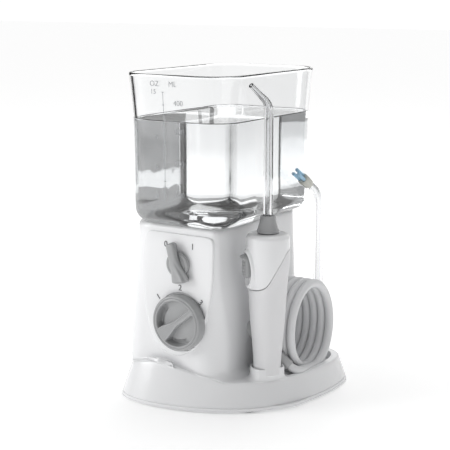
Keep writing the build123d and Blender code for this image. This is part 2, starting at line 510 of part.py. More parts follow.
def tip_pieces():
    tip, _, _ = bent_tube(HANDLE_X, HANDLE_Y, TIP_DIR, HANDLE_TOP - 9, TIP_BEND_Z, TIP_RISE, TIP_REACH, TIP_R,
                          TIP_END_R + 0.6, TIP_BORE_R, 4.0)
    save("jet_tip", tip)
    bottom = FOOT_H + COVER_T + 2.4
    spare, bend, end = bent_tube(STORE_X, STORE_Y, STORE_DIR, bottom, STORE_BEND_Z, STORE_RISE, STORE_REACH, STORE_R,
                                 STORE_R - 0.6, STORE_BORE_R, 6.0)
    along = (end - bend).normalized()
    tube_end = end - along * (BRISTLE_L + 3.0)
    cut = Plane(origin=tube_end, z_dir=along)
    spare -= cut * Pos(0, 0, 20) * Cylinder(8, 40)
    save("spare_tip_tube", spare)
    start = Plane(origin=tube_end - along * (STORE_COLLAR_L - 3.0), z_dir=along)
    collar = start * Pos(0, 0, STORE_COLLAR_L / 2) * Cone(STORE_HEAD_R - 0.4, STORE_HEAD_R, STORE_COLLAR_L)
    save("spare_tip_collar", collar - spare)
    tufts = []
    face = Plane(origin=end - along * BRISTLE_L, z_dir=along)
    for i in range(3):
        spot = compass(90 + 120 * i)
        tufts.append((face * Pos(1.9 * spot[0], 1.9 * spot[1], BRISTLE_L / 2) * Cylinder(BRISTLE_R, BRISTLE_L)).solid())
    save("spare_tip_bristles", Compound(children=tufts))


# ---------------------------------------------------------------- hose
def hose_pieces():
    x_from = COIL_X_IN - HOSE_R
    x_to = COIL_X_IN + COIL_PITCH * (COIL_TURNS - 1) + HOSE_R
    ring = Ellipse(COIL_RY, COIL_RZ) - Ellipse(COIL_RY - 2 * HOSE_R, COIL_RZ - 2 * HOSE_R)
    side = Plane(origin=(x_from, COIL_Y, COIL_Z), x_dir=(0, 1, 0), z_dir=(1, 0, 0))
    coil = extrude(side * ring, x_to - x_from, dir=(1, 0, 0))
    save("hose_coil", coil)
    save("hose_to_base", hose_tube("hose_to_base", HOSE_OUT))
    save("hose_to_handle", hose_tube("hose_to_handle", HOSE_IN))


# ---------------------------------------------------------------- drive
def drive_pieces():
    pump_y = PLATE_Y - 10.5
    motor_z = GEAR_Z - MODULE * (PINION_TEETH + GEAR_TEETH) / 2
    plate = block(GEAR_X - 24, GEAR_X + 18, PLATE_Y, PLATE_Y + PLATE_T, FOOT_H + COVER_T + GAP, 98)
    plate -= rod_y(4.0, PLATE_Y - 1, PLATE_Y + 4, GEAR_X, motor_z)
    save("mounting_plate", plate)
    motor = rod_y(MOTOR_R, PLATE_Y + PLATE_T, PLATE_Y + PLATE_T + MOTOR_L, GEAR_X, motor_z)
    motor = fillet(motor.edges(), 1.5)
    motor += rod_y(4.5, PLATE_Y + PLATE_T + MOTOR_L - 0.1, PLATE_Y + PLATE_T + MOTOR_L + 3, GEAR_X, motor_z)
    motor -= rod_y(PINION_SHAFT_R + RUN, PLATE_Y, PLATE_Y + 16, GEAR_X, motor_z)
    save("pump_motor", motor)
    gear_y = PLATE_Y - 1.5
    to_axis = Pos(GEAR_X, gear_y, GEAR_Z)
    axle = rod_y(AXLE_R, gear_y - GEAR_T - 1.0, PLATE_Y, GEAR_X, GEAR_Z)
    save("gear_axle", axle + rod_y(AXLE_R + 2, PLATE_Y - 1.0, PLATE_Y, GEAR_X, GEAR_Z))
    wheel = extrude(Plane.XZ * gear_outline(GEAR_TEETH, math.pi / 2 + math.pi / GEAR_TEETH), GEAR_T)
    wheel = to_axis * wheel - rod_y(AXLE_R + RUN, gear_y - 20, gear_y + 5, GEAR_X, GEAR_Z)
    save("drive_gear", wheel)
    pinion = extrude(Plane.XZ * gear_outline(PINION_TEETH, math.pi / 2), GEAR_T)
    pinion = Pos(GEAR_X, gear_y, motor_z) * pinion
    save("motor_pinion", pinion + rod_y(PINION_SHAFT_R, gear_y, PLATE_Y + 14, GEAR_X, motor_z))
    crank_front = gear_y - GEAR_T
    pin = rod_y(CRANK_PIN_R, crank_front - 1.4 - ROD_T, crank_front, GEAR_X, GEAR_Z + CRANK_R)
    pin = pin - rod_y(AXLE_R + GAP, crank_front - 1.2, crank_front + 1, GEAR_X, GEAR_Z)
    save("crank_pin", pin)
    rod_back = crank_front - 1.2
    eyes = rod_y(ROD_EYE_R, rod_back - ROD_T, rod_back, GEAR_X, GEAR_Z + CRANK_R)
    eyes += rod_y(ROD_EYE_R, rod_back - ROD_T, rod_back, GEAR_X, GEAR_Z + CRANK_R + ROD_L)
    eyes += block(GEAR_X - 1.8, GEAR_X + 1.8, rod_back - ROD_T, rod_back, GEAR_Z + CRANK_R + 1,
                  GEAR_Z + CRANK_R + ROD_L - 1)
    eyes -= rod_y(CRANK_PIN_R + RUN, rod_back - 10, rod_back + 10, GEAR_X, GEAR_Z + CRANK_R)
    save("connecting_rod", eyes)
    wrist_top = GEAR_Z + CRANK_R + ROD_L + ROD_EYE_R
    roof = wrist_top + GAP + 2 * CRANK_R
    piston_y = rod_back - ROD_T / 2
    piston = rod_z(CROSSHEAD_R, wrist_top - 4, roof + 2.5, GEAR_X, piston_y)
    half = ROD_EYE_R + CRANK_R + GAP
    piston -= block(GEAR_X - half, GEAR_X + half, rod_back - ROD_T - GAP, rod_back + GAP, 50, roof)
    piston += rod_z(PISTON_R, roof + 2.0, roof + 14.0, GEAR_X, piston_y)
    piston -= Pos(GEAR_X, piston_y, roof + 12) * Torus(PISTON_R, 1.2)
    save("piston", piston)
    save("piston_seal", Pos(GEAR_X, piston_y, roof + 12) * Torus(PISTON_R - 0.55, 0.5))
    pump = rod_z(PUMP_R, roof + 3.2, 108, GEAR_X, piston_y)
    pump -= rod_z(PISTON_R + RUN, roof, roof + 14.6, GEAR_X, piston_y)
    pump += block(GEAR_X - 15, GEAR_X + 15, piston_y + 5, PLATE_Y, roof + 6, roof + 16)
    pump -= rod_z(PISTON_R + RUN, roof, roof + 14.6, GEAR_X, piston_y)
    save("pump_cylinder", pump)
    board = block(-46, -43.5, 4, 36, 40, 80)
    save("rectifier_board", board)
    parts = [block(-43.5, -37, 8, 16, 46, 56), block(-43.5, -38, 20, 30, 50, 58), block(-43.5, -40, 8, 26, 66, 72)]
    save("board_components", Compound(children=[p.solid() for p in parts]))
    save("board_bracket", block(-50.2, -46.0, 6, 12, 44, 50) + block(-48.4, -46.0, 24, 30, 70, 76))


base_pieces()
tower_pieces()
control_pieces()
tank_pieces()
handle_pieces()
tip_pieces()
hose_pieces()
drive_pieces()
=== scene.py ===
"""Looks of a countertop water flosser: moulded body, clear tank with water, handle, tips and coiled hose."""
import json
import math

import bpy
import numpy as np
from mathutils import Matrix, Vector


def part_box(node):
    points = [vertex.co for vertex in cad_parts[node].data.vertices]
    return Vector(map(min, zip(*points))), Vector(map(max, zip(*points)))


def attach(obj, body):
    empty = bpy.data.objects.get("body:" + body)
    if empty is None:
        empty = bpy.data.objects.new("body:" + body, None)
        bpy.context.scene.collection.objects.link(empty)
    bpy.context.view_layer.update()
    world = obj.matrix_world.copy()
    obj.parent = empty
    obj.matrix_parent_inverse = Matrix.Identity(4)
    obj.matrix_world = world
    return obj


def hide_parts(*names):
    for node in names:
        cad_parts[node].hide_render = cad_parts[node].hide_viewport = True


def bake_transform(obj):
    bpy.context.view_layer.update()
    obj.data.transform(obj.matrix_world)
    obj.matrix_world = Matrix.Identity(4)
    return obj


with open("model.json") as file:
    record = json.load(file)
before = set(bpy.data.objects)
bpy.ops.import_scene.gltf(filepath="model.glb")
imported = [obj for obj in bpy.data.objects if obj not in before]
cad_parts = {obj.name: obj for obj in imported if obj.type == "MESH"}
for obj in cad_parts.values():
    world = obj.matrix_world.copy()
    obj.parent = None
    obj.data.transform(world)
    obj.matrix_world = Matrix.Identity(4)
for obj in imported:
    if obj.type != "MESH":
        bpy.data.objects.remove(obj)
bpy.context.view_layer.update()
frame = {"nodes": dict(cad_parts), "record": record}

bl_info = {
    "name": "Water flosser",
    "version": (1, 0, 0),
    "blender": (4, 5, 0),
    "location": "View3D > Sidebar > Flosser",
    "description": "Makes the visible pieces of a countertop water flosser around its frame",
    "category": "Object",
}

MM = 0.001
JOINTS = {j["name"]: j for j in frame["record"]["behaviour"]["joints"]}


def corners(node):
    """Lowest and highest corner of a node in millimetres, as two arrays."""
    low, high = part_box(node)
    return np.array(low) / MM, np.array(high) / MM


# ---------------------------------------------------------------- sizes read from the frame, in millimetres
TOWER_LOW, TOWER_HIGH = corners("tower_housing")
BASE_LOW, BASE_HIGH = corners("base_tray")
TANK_LOW, TANK_HIGH = corners("tank")
DIAL_LOW, DIAL_HIGH = corners("pressure_dial")
COLLAR_HIGH = corners("tip_collar")[1]
SPARE_LOW, SPARE_HIGH = corners("spare_tip_tube")
DECK_Z = float(TOWER_LOW[2])
TOWER_TOP = float(TOWER_HIGH[2])
TANK_MID = (TANK_LOW + TANK_HIGH) / 2
DIAL_AT = np.array(JOINTS["dial_turn"]["pos_m"]) / MM
LEVER_AT = np.array(JOINTS["switch_turn"]["pos_m"]) / MM
HANDLE_AT = np.array(JOINTS["tip_turn"]["pos_m"]) / MM
SLIDER_DIR = math.atan2(-JOINTS["release_press"]["axis"][1], -JOINTS["release_press"]["axis"][0]) + math.pi


# ---------------------------------------------------------------- mesh helpers
def new_object(name, data):
    """An object in the scene with its data."""
    obj = bpy.data.objects.new(name, data)
    bpy.context.scene.collection.objects.link(obj)
    return obj


def add_mesh(name, points, faces):
    """A mesh object in metres from points in millimetres, with its outer faces pointing out."""
    mesh = bpy.data.meshes.new(name)
    mesh.from_pydata((np.asarray(points, float).reshape(-1, 3) * MM).tolist(), [], [tuple(f) for f in faces])
    mesh.validate()
    mesh.update()
    mesh.polygons.foreach_set("use_smooth", np.full(len(mesh.polygons), True))
    return new_object(name, mesh)


def grid_faces(rows, columns, wrap_rows=False, wrap_columns=False):
    """The quads of a grid of rows times columns points, as an array of four indices each."""
    i = np.arange(rows if wrap_rows else rows - 1)
    j = np.arange(columns if wrap_columns else columns - 1)
    a, b = np.meshgrid(i, j, indexing="ij")
    down, right = (a + 1) % rows, (b + 1) % columns
    quads = np.stack([a * columns + b, a * columns + right, down * columns + right, down * columns + b], -1)
    return quads.reshape(-1, 4)


def grid_surface(name, points, wrap_rows=False, wrap_columns=True, cap_first=False, cap_last=False, flip=False):
    """A surface through a grid of points (rows, columns, 3). A cap closes the first or the last row with one face."""
    rows, columns = points.shape[:2]
    faces = grid_faces(rows, columns, wrap_rows, wrap_columns).tolist()
    if cap_first:
        faces.append(list(range(columns))[::-1])
    if cap_last:
        faces.append(list(range((rows - 1) * columns, rows * columns)))
    if flip:
        faces = [f[::-1] for f in faces]
    return add_mesh(name, points, faces)


def crease(obj, degrees=35):
    """Keeps edges sharper than the angle crisp where faces are smooth."""
    bpy.ops.object.select_all(action="DESELECT")
    bpy.context.view_layer.objects.active = obj
    obj.select_set(True)
    bpy.ops.object.shade_smooth_by_angle(angle=math.radians(degrees))
    obj.select_set(False)
    return obj


def thicken(obj, thickness):
    """A wall behind the surface, of the thickness in millimetres."""
    mod = obj.modifiers.new("wall", "SOLIDIFY")
    mod.thickness = thickness * MM
    mod.offset = -1.0
    return obj


def turned(name, profile, centre, axis=(0, 0, 1), sides=96, **caps):
    """A surface of revolution: each (radius, height) of the profile is a ring about the axis through centre."""
    profile = np.asarray(profile, float)
    angle = full_turn(sides)
    z_dir = np.asarray(axis, float) / np.linalg.norm(axis)
    x_dir = np.cross((0, 1, 0) if abs(z_dir[1]) < 0.9 else (1, 0, 0), z_dir)
    x_dir = x_dir / np.linalg.norm(x_dir)
    y_dir = np.cross(z_dir, x_dir)
    around = np.cos(angle)[:, None] * x_dir + np.sin(angle)[:, None] * y_dir
    points = np.asarray(centre, float) + profile[:, 0, None, None] * around + profile[:, 1, None, None] * z_dir
    return grid_surface(name, points, **caps)


def full_turn(steps):
    """Angles once round, without the last one that is the first again."""
    return np.linspace(0, 2 * np.pi, steps, endpoint=False)


def quarter_round(radius, height, edge, steps, end=np.pi / 2):
    """(radius, height) points over a convex edge, from the upright side to the flat top."""
    return [(radius - edge * (1 - math.cos(t)), height - edge * (1 - math.sin(t))) for t in np.linspace(0, end, steps)]


def smooth_step(x):
    """Nought below 0, one above 1, and a smooth rise between: x squared times three less twice x."""
    x = np.clip(x, 0.0, 1.0)
    return x * x * (3 - 2 * x)


def swept(name, path, radius, sides=32, hollow=None, cap=True):
    """A tube along a path: rings of the given radius, square to the path, turned as little as possible from ring to
    ring. With a hollow radius the rings return inside, so that the tube has a bore."""
    path = np.asarray(path, float)
    tangent = np.gradient(path, axis=0)
    tangent /= np.linalg.norm(tangent, axis=1)[:, None]
    side = np.cross(tangent[0], (0.31, 0.95, 0.05))
    sides_dir = []
    for t in tangent:
        side = side - t * np.dot(side, t)
        side = side / np.linalg.norm(side)
        sides_dir.append(side)
    first = np.array(sides_dir)
    second = np.cross(tangent, first)
    angle = full_turn(sides)
    ring = np.cos(angle)[None, :, None] * first[:, None] + np.sin(angle)[None, :, None] * second[:, None]
    outer = path[:, None] + np.broadcast_to(radius, len(path))[:, None, None] * ring
    if hollow is None:
        return grid_surface(name, outer, cap_first=cap, cap_last=cap)
    inner = path[:, None] + np.broadcast_to(hollow, len(path))[:, None, None] * ring
    return grid_surface(name, np.concatenate([outer, inner[::-1]]), wrap_rows=True)


def bent_path(points, radius, step=0.8):
    """Points about a step apart along straight runs, with a quadratic round of the radius at each corner."""
    points = [np.asarray(p, float) for p in points]
    stations = [points[0]]
    for before, here, after in zip(points, points[1:], points[2:]):
        run_in, run_out = before - here, after - here
        reach = min(radius, 0.45 * np.linalg.norm(run_in), 0.45 * np.linalg.norm(run_out))
        start = here + run_in / np.linalg.norm(run_in) * reach
        end = here + run_out / np.linalg.norm(run_out) * reach
        t = np.linspace(0, 1, 9)[:, None]
        stations.extend((1 - t) ** 2 * start + 2 * t * (1 - t) * here + t ** 2 * end)
    stations.append(points[-1])
    stations = np.array(stations)
    gaps = np.linalg.norm(np.diff(stations, axis=0), axis=1)
    along = np.concatenate([[0], np.cumsum(gaps)])
    keep = np.concatenate([[True], gaps > 1e-6])
    even = np.arange(0, along[-1], step)
    even = np.append(even, along[-1])
    return np.stack([np.interp(even, along[keep], stations[keep, k]) for k in range(3)], -1)


# ---------------------------------------------------------------- material groups
def new_group(name, inputs, outputs):
    """An empty node group with its sockets, and its two end nodes."""
    group = bpy.data.node_groups.new(name, "ShaderNodeTree")
    for label, kind, value in inputs:
        socket = group.interface.new_socket(name=label, in_out="INPUT", socket_type=kind)
        socket.default_value = value
    for label, kind in outputs:
        group.interface.new_socket(name=label, in_out="OUTPUT", socket_type=kind)
    return group, group.nodes.new("NodeGroupInput"), group.nodes.new("NodeGroupOutput")


def fill(node, **values):
    """Sets a node's inputs: an underscore in a keyword stands for the space in the input's name."""
    for label, value in values.items():
        node.inputs[label.replace("_", " ")].default_value = value


def arithmetic(group, operation, *given):
    """A maths node. Each thing given is a number or an output, and None leaves an input as it is."""
    node = group.nodes.new("ShaderNodeMath")
    node.operation = operation
    for socket, value in zip(node.inputs, given):
        if isinstance(value, float):
            socket.default_value = value
        elif value is not None:
            group.links.new(value, socket)
    return node.outputs[0]


def new_material(name):
    """A material, its nodes, its link function and its Principled shader."""
    material = bpy.data.materials.new(name)
    material.use_nodes = True
    nodes = material.node_tree.nodes
    return material, nodes, material.node_tree.links.new, nodes["Principled BSDF"]


def moulded_group():
    """Moulded surface: a fine grain, slow waviness and a faint speckle of handling, over Object coordinates.
    Tone varies the colour a little, Roughness varies the gloss, Height feeds a bump."""
    inputs = [("Colour", "NodeSocketColor", (0.9, 0.9, 0.9, 1)), ("Roughness", "NodeSocketFloat", 0.3),
              ("Grain Scale", "NodeSocketFloat", 2500.0), ("Grain Depth", "NodeSocketFloat", 0.2),
              ("Variation", "NodeSocketFloat", 0.04)]
    outputs = [("Colour", "NodeSocketColor"), ("Roughness", "NodeSocketFloat"), ("Height", "NodeSocketFloat")]
    group, given, out = new_group("moulded_surface", inputs, outputs)
    nodes, link = group.nodes, group.links.new
    coords = nodes.new("ShaderNodeTexCoord")
    slow = nodes.new("ShaderNodeTexNoise")
    fill(slow, Scale=38.0, Detail=3.0)
    grain = nodes.new("ShaderNodeTexNoise")
    fill(grain, Detail=2.0)
    link(coords.outputs["Object"], slow.inputs["Vector"])
    link(coords.outputs["Object"], grain.inputs["Vector"])
    link(given.outputs["Grain Scale"], grain.inputs["Scale"])
    centred = arithmetic(group, "SUBTRACT", slow.outputs["Fac"], 0.5)
    scaled = arithmetic(group, "MULTIPLY", centred, given.outputs["Variation"])
    tone = nodes.new("ShaderNodeVectorMath")
    tone.operation = "SCALE"
    link(given.outputs["Colour"], tone.inputs[0])
    link(arithmetic(group, "ADD", scaled, 1.0), tone.inputs["Scale"])
    rough = arithmetic(group, "MULTIPLY_ADD", scaled, 1.6, given.outputs["Roughness"])
    depth = arithmetic(group, "MULTIPLY", grain.outputs["Fac"], given.outputs["Grain Depth"])
    link(tone.outputs[0], out.inputs["Colour"])
    link(rough, out.inputs["Roughness"])
    link(depth, out.inputs["Height"])
    return group


def moulded(name, colour, roughness, grain_scale=2500.0, grain_depth=0.2, variation=0.04, coat=0.0, metallic=0.0):
    """A moulded or turned finish in its own colour, with the moulded surface group behind it."""
    material, nodes, link, shader = new_material(name)
    surface = nodes.new("ShaderNodeGroup")
    surface.node_tree = bpy.data.node_groups.get("moulded_surface") or moulded_group()
    fill(surface, Colour=(*colour, 1), Roughness=roughness, Grain_Scale=grain_scale, Grain_Depth=grain_depth,
         Variation=variation)
    bump = nodes.new("ShaderNodeBump")
    fill(bump, Strength=0.5, Distance=0.0002)
    link(surface.outputs["Height"], bump.inputs["Height"])
    link(surface.outputs["Colour"], shader.inputs["Base Color"])
    link(surface.outputs["Roughness"], shader.inputs["Roughness"])
    link(bump.outputs["Normal"], shader.inputs["Normal"])
    fill(shader, Coat_Weight=coat, Coat_Roughness=0.12, Metallic=metallic)
    return material


def clear(name, tint=(1, 1, 1), ior=1.45, roughness=0.01, ripple=0.06, ripple_scale=60.0):
    """A clear piece: full transmission, with a slow ripple of the moulding in its surface."""
    material, nodes, link, shader = new_material(name)
    fill(shader, Base_Color=(*tint, 1), Roughness=roughness, IOR=ior, Transmission_Weight=1.0)
    coords = nodes.new("ShaderNodeTexCoord")
    noise = nodes.new("ShaderNodeTexNoise")
    fill(noise, Scale=ripple_scale, Detail=1.0)
    bump = nodes.new("ShaderNodeBump")
    fill(bump, Strength=ripple, Distance=0.001)
    link(coords.outputs["Object"], noise.inputs["Vector"])
    link(noise.outputs["Fac"], bump.inputs["Height"])
    link(bump.outputs["Normal"], shader.inputs["Normal"])
    return material


# colour (None takes the one that the panel sets), roughness, grain scale, grain depth, variation, more
MOULDED = {
    "body_white": (None, 0.26, 1800, 0.12, 0.03, {"coat": 0.25}),
    "grip_white": (None, 0.5, 2200, 1.0, 0.05, {}),
    "control_grey": (None, 0.34, 2600, 0.35, 0.08, {"coat": 0.15}),
    "sleeve_grey": ((0.50, 0.505, 0.51), 0.42, 1500, 0.3, 0.04, {}),
    "collar_grey": ((0.40, 0.405, 0.41), 0.25, 2600, 0.2, 0.08, {"coat": 0.4}),
    "hose_white": ((0.76, 0.765, 0.775), 0.42, 1500, 0.2, 0.04, {}),
    "bristle_blue": ((0.50, 0.76, 0.95), 0.4, 3000, 0.2, 0.1, {}),
    "collar_beige": ((0.55, 0.55, 0.50), 0.4, 2600, 0.3, 0.06, {}),
    "foot_rubber": ((0.05, 0.05, 0.052), 0.7, 1600, 0.8, 0.1, {}),
    "screw_steel": ((0.55, 0.56, 0.58), 0.3, 3000, 0.3, 0.1, {"metallic": 1.0}),
    "motor_steel": ((0.5, 0.51, 0.53), 0.35, 3000, 0.3, 0.1, {"metallic": 1.0}),
    "gear_nylon": ((0.78, 0.76, 0.70), 0.45, 2000, 0.3, 0.05, {}),
    "frame_black": ((0.03, 0.03, 0.032), 0.5, 2000, 0.5, 0.1, {}),
    "board_green": ((0.03, 0.16, 0.07), 0.35, 2000, 0.3, 0.1, {}),
    "seal_rubber": ((0.02, 0.02, 0.02), 0.6, 2000, 0.5, 0.1, {}),
    "brass": ((0.62, 0.46, 0.2), 0.3, 3000, 0.3, 0.1, {"metallic": 1.0}),
    "print_grey": ((0.12, 0.12, 0.125), 0.5, 3000, 0.2, 0.1, {}),
    "print_frost": ((0.36, 0.37, 0.38), 0.5, 3000, 0.2, 0.1, {}),
}
# tint, index of refraction, roughness, depth and scale of the ripple
CLEAR = {
    "clear_tube": ((0.86, 0.865, 0.87), 1.49, 0.01, 0.02, 80.0),
    "clear_plastic": ((0.965, 0.97, 0.972), 1.45, 0.015),
    "water": ((0.94, 0.945, 0.95), 1.33, 0.0, 0.12, 25.0),
}
PANEL_COLOURS = {"body_white": "body", "grip_white": "grip", "control_grey": "control"}
MATERIALS = {}


def finish_of(name):
    """The material of a finish, made once."""
    if name not in MATERIALS:
        if name in CLEAR:
            MATERIALS[name] = clear(name, *CLEAR[name])
        else:
            colour, *values, more = MOULDED[name]
            colour = colour or tuple(getattr(look(), PANEL_COLOURS[name]))
            MATERIALS[name] = moulded(name, colour, *values, **more)
    return MATERIALS[name]


def settle(obj, body, slot, *nodes, finish=None):
    """The piece gets its finish, rides on its body and stands for its nodes."""
    obj.data.materials.clear()
    obj.data.materials.append(finish_of(finish or slot))
    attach(obj, body)
    if nodes:
        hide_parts(*nodes)
    return obj


def curve_through(knots, at):
    """A smooth curve through (place, value) knots: cubic spans whose slope at a knot is that of its neighbours."""
    place, value = np.asarray(knots, float).T
    slope = np.gradient(value, place)
    at = np.clip(at, place[0], place[-1])
    span = np.clip(np.searchsorted(place, at, side="right") - 1, 0, len(place) - 2)
    width = place[span + 1] - place[span]
    t = (at - place[span]) / width
    rise = (2 * t ** 3 - 3 * t ** 2 + 1) * value[span] + (3 * t ** 2 - 2 * t ** 3) * value[span + 1]
    return rise + width * ((t ** 3 - 2 * t ** 2 + t) * slope[span] + (t ** 3 - t ** 2) * slope[span + 1])


def smooth_overlap(distances, softness):
    """Soft largest of signed distances: softness times the logarithm of the summed exponentials. It rounds corners."""
    stack = np.stack(distances) / softness
    top = stack.max(0)
    return softness * (top + np.log(np.exp(stack - top).sum(0)))


def star_outline(distance, angle, centre, level=0.0):
    """How far from the centre, at each angle, the distance function reaches the level, found by halving."""
    angle, level = np.broadcast_arrays(angle, level)
    near, far = np.zeros(angle.shape), np.full(angle.shape, 200.0)
    for _ in range(36):
        middle = (near + far) / 2
        outside = distance(centre[0] + middle * np.cos(angle), centre[1] + middle * np.sin(angle)) > level
        near, far = np.where(outside, near, middle), np.where(outside, middle, far)
    return (near + far) / 2


def loop_parameters(corner_steps, side_steps):
    """A rounded rectangle's loop: each point's share of the half sizes in x and y, and the angle of its normal."""
    signs = np.array([(1, 1), (-1, 1), (-1, -1), (1, -1)], float)
    shares, angles = [], []
    for k in range(4):
        quarter = np.linspace(0, np.pi / 2, corner_steps) + k * np.pi / 2
        along = np.linspace(0, 1, side_steps + 2)[1:-1, None]
        shares += [np.tile(signs[k], (corner_steps, 1)), signs[k] + (signs[(k + 1) % 4] - signs[k]) * along]
        angles += [quarter, np.full(side_steps, (k + 1) * np.pi / 2)]
    return np.concatenate(shares), np.concatenate(angles)


def rounded_loops(half_x, half_y, radius, centre_x, centre_y, z, parameters):
    """Rounded rectangles at heights z: every size is a column (one value per row) or a grid of rows and points."""
    shares, angle = parameters
    x = centre_x + shares[:, 0] * (half_x - radius) + radius * np.cos(angle)
    y = centre_y + shares[:, 1] * (half_y - radius) + radius * np.sin(angle)
    return np.stack(np.broadcast_arrays(x, y, z), -1)


# ---------------------------------------------------------------- base and tower, in millimetres
FLOOR_GAP = float(BASE_LOW[2])
DRAFT = math.radians(15.5)
BOWS = [(-28.0, BASE_LOW[1] + 105.0, 105.0), (BASE_HIGH[0] - 320.0, 20.0, 320.0),
        (BASE_LOW[0] + 640.0, 0.0, 640.0), (0.0, BASE_HIGH[1] - 600.0, 600.0)]
BASE_CORNER_SOFTNESS = 9.0
CREST_X, CREST_Z, HILL_FROM, HILL_TO = -24.0, 27.4, -70.0, 34.0
WELL_Z, WELL_FROM_X, WELL_FROM_Y, WELL_TO_Y = 13.0, 19.3, -21.0, 50.0
DECK_INSET = (DECK_Z - FLOOR_GAP) * math.tan(DRAFT)
WELL_INSET = DECK_INSET + 3.6
CUP_R, CUP_BORE_R, CUP_RIM, CUP_FLOOR = 10.6, 9.4, 25.8, 20.4
NOTCH = math.radians(75)
SPARE_R, POCKET_R, POCKET_BORE_R = 3.4, 6.2, 4.2
POCKET_AT = np.array([(SPARE_LOW[0] + SPARE_HIGH[0]) / 2, SPARE_HIGH[1] - SPARE_R])
TOWER_FOOT = (-55.0, 19.0, -51.0, 56.0)
TOWER_HEAD = (-48.5, 16.5, -48.0, 54.0)
TOWER_CORNER_R = 15.0
CHEEK_TOP_R, CHEEK_FROM, CHEEK_TO = 4.0, 38.0, 88.0
FACE_T = 1.3
SHIELD = [(-34.5, 108.5), (15.0, 108.5), (15.0, 71.0), (10.0, 52.0), (6.0, 40.0), (-10.0, 31.0), (-25.0, 35.0),
          (-34.0, 52.0), (-38.0, 86.0)]
SOCKET_R = 10.5


def base_distance(x, y):
    """Signed distance to the base's plan, which is where four large discs overlap, with soft corners."""
    discs = [np.hypot(x - bow_x, y - bow_y) - radius for bow_x, bow_y, radius in BOWS]
    return smooth_overlap(discs, BASE_CORNER_SOFTNESS)


def hill_height(x):
    """How far the ledge in front of the tower stands over the deck: one smooth rise and one smooth fall."""
    rise = smooth_step((x - HILL_FROM) / (CREST_X - HILL_FROM))
    fall = smooth_step((HILL_TO - x) / (HILL_TO - CREST_X))
    return (CREST_Z - DECK_Z) * np.where(x < CREST_X, rise, fall)


def deck_height(x, y):
    """The top of the base: the deck, the hill at the front, the well for the hose, and the two sunk bores."""
    ahead = smooth_step((-44.0 - y) / 5.0)
    inside = smooth_step((-base_distance(x, y) - WELL_INSET) / 0.9)
    well = inside * smooth_step((x - WELL_FROM_X) / 1.0) * smooth_step((y - WELL_FROM_Y) / 1.0)
    well = well * smooth_step((WELL_TO_Y - y) / 1.0)
    height = DECK_Z + hill_height(x) * ahead - (DECK_Z - WELL_Z) * well
    cup = smooth_step((CUP_BORE_R + 0.9 - np.hypot(x - HANDLE_AT[0], y - HANDLE_AT[1])) / 0.6)
    pocket = smooth_step((POCKET_BORE_R + 1.2 - np.hypot(x - POCKET_AT[0], y - POCKET_AT[1])) / 0.6)
    return height + (WELL_Z - 1.0 - height) * np.maximum(cup, pocket)


def front_wall(z):
    """The y of the tower's front wall at a height: it leans back a little."""
    return TOWER_FOOT[2] + (TOWER_HEAD[2] - TOWER_FOOT[2]) * (z - DECK_Z) / (TOWER_TOP - DECK_Z)


def shield_distance(x, z):
    """Signed distance to the shield-shaped face: where the half planes of its sides overlap, with soft corners."""
    sides = []
    for (x0, z0), (x1, z1) in zip(SHIELD, SHIELD[1:] + SHIELD[:1]):
        length = math.hypot(x1 - x0, z1 - z0)
        sides.append(((x - x0) * -(z1 - z0) + (z - z0) * (x1 - x0)) / length)
    return smooth_overlap(sides, 1.7)


def make_base(edge_round, wall):
    """Base skin on rings round the middle. Skirt rows draw in with the draft, a quarter round turns on to the deck,
    and the rest are rings shrinking to the middle whose height is the deck function."""
    angle = full_turn(360)
    middle = (0.0, 0.0)

    def ring(inset, z):
        reach = star_outline(base_distance, angle, middle, -np.broadcast_to(inset, angle.shape))
        x, y = reach * np.cos(angle), reach * np.sin(angle)
        return np.stack(np.broadcast_arrays(x, y, deck_height(x, y) if z is None else z), -1)

    top_ring = ring(DECK_INSET + 1.5, 0.0)
    top = DECK_Z + hill_height(top_ring[:, 0]) * smooth_step((-44.0 - top_ring[:, 1]) / 5.0)
    slope = math.tan(DRAFT)
    groove = 0.45
    rows = [ring(0, FLOOR_GAP)]
    for z, sunk in ((3.3, 0), (3.45, groove), (3.85, groove), (4.0, 0)):
        rows.append(ring((z - FLOOR_GAP) * slope + sunk, z))
    bend = top - edge_round
    straight_to = bend + edge_round * math.sin(DRAFT)
    for share in np.linspace(0.15, 1, 7):
        z = 4.0 + (straight_to - 4.0) * share
        rows.append(ring((z - FLOOR_GAP) * slope, z))
    round_middle = (bend - FLOOR_GAP) * slope + edge_round / math.cos(DRAFT)
    for turn in np.linspace(DRAFT, np.pi / 2, 8)[1:]:
        rows.append(ring(round_middle - edge_round * math.cos(turn), bend + edge_round * math.sin(turn)))
    inner_reach = WELL_INSET + 2.0
    for share in (0.15, 0.3, 0.45):
        rows.append(ring(round_middle + (WELL_INSET - 0.2 - round_middle) * share / 0.45, None))
    for inset in np.arange(WELL_INSET, inner_reach, 0.22):
        rows.append(ring(inset, None))
    last = ring(inner_reach, None)
    for share in np.linspace(1, 0.01, 76):
        x, y = last[:, 0] * share, last[:, 1] * share
        rows.append(np.stack([x, y, deck_height(x, y)], -1))
    skin = grid_surface("base_skin", np.array(rows), cap_last=True)
    return crease(thicken(skin, wall), 40)


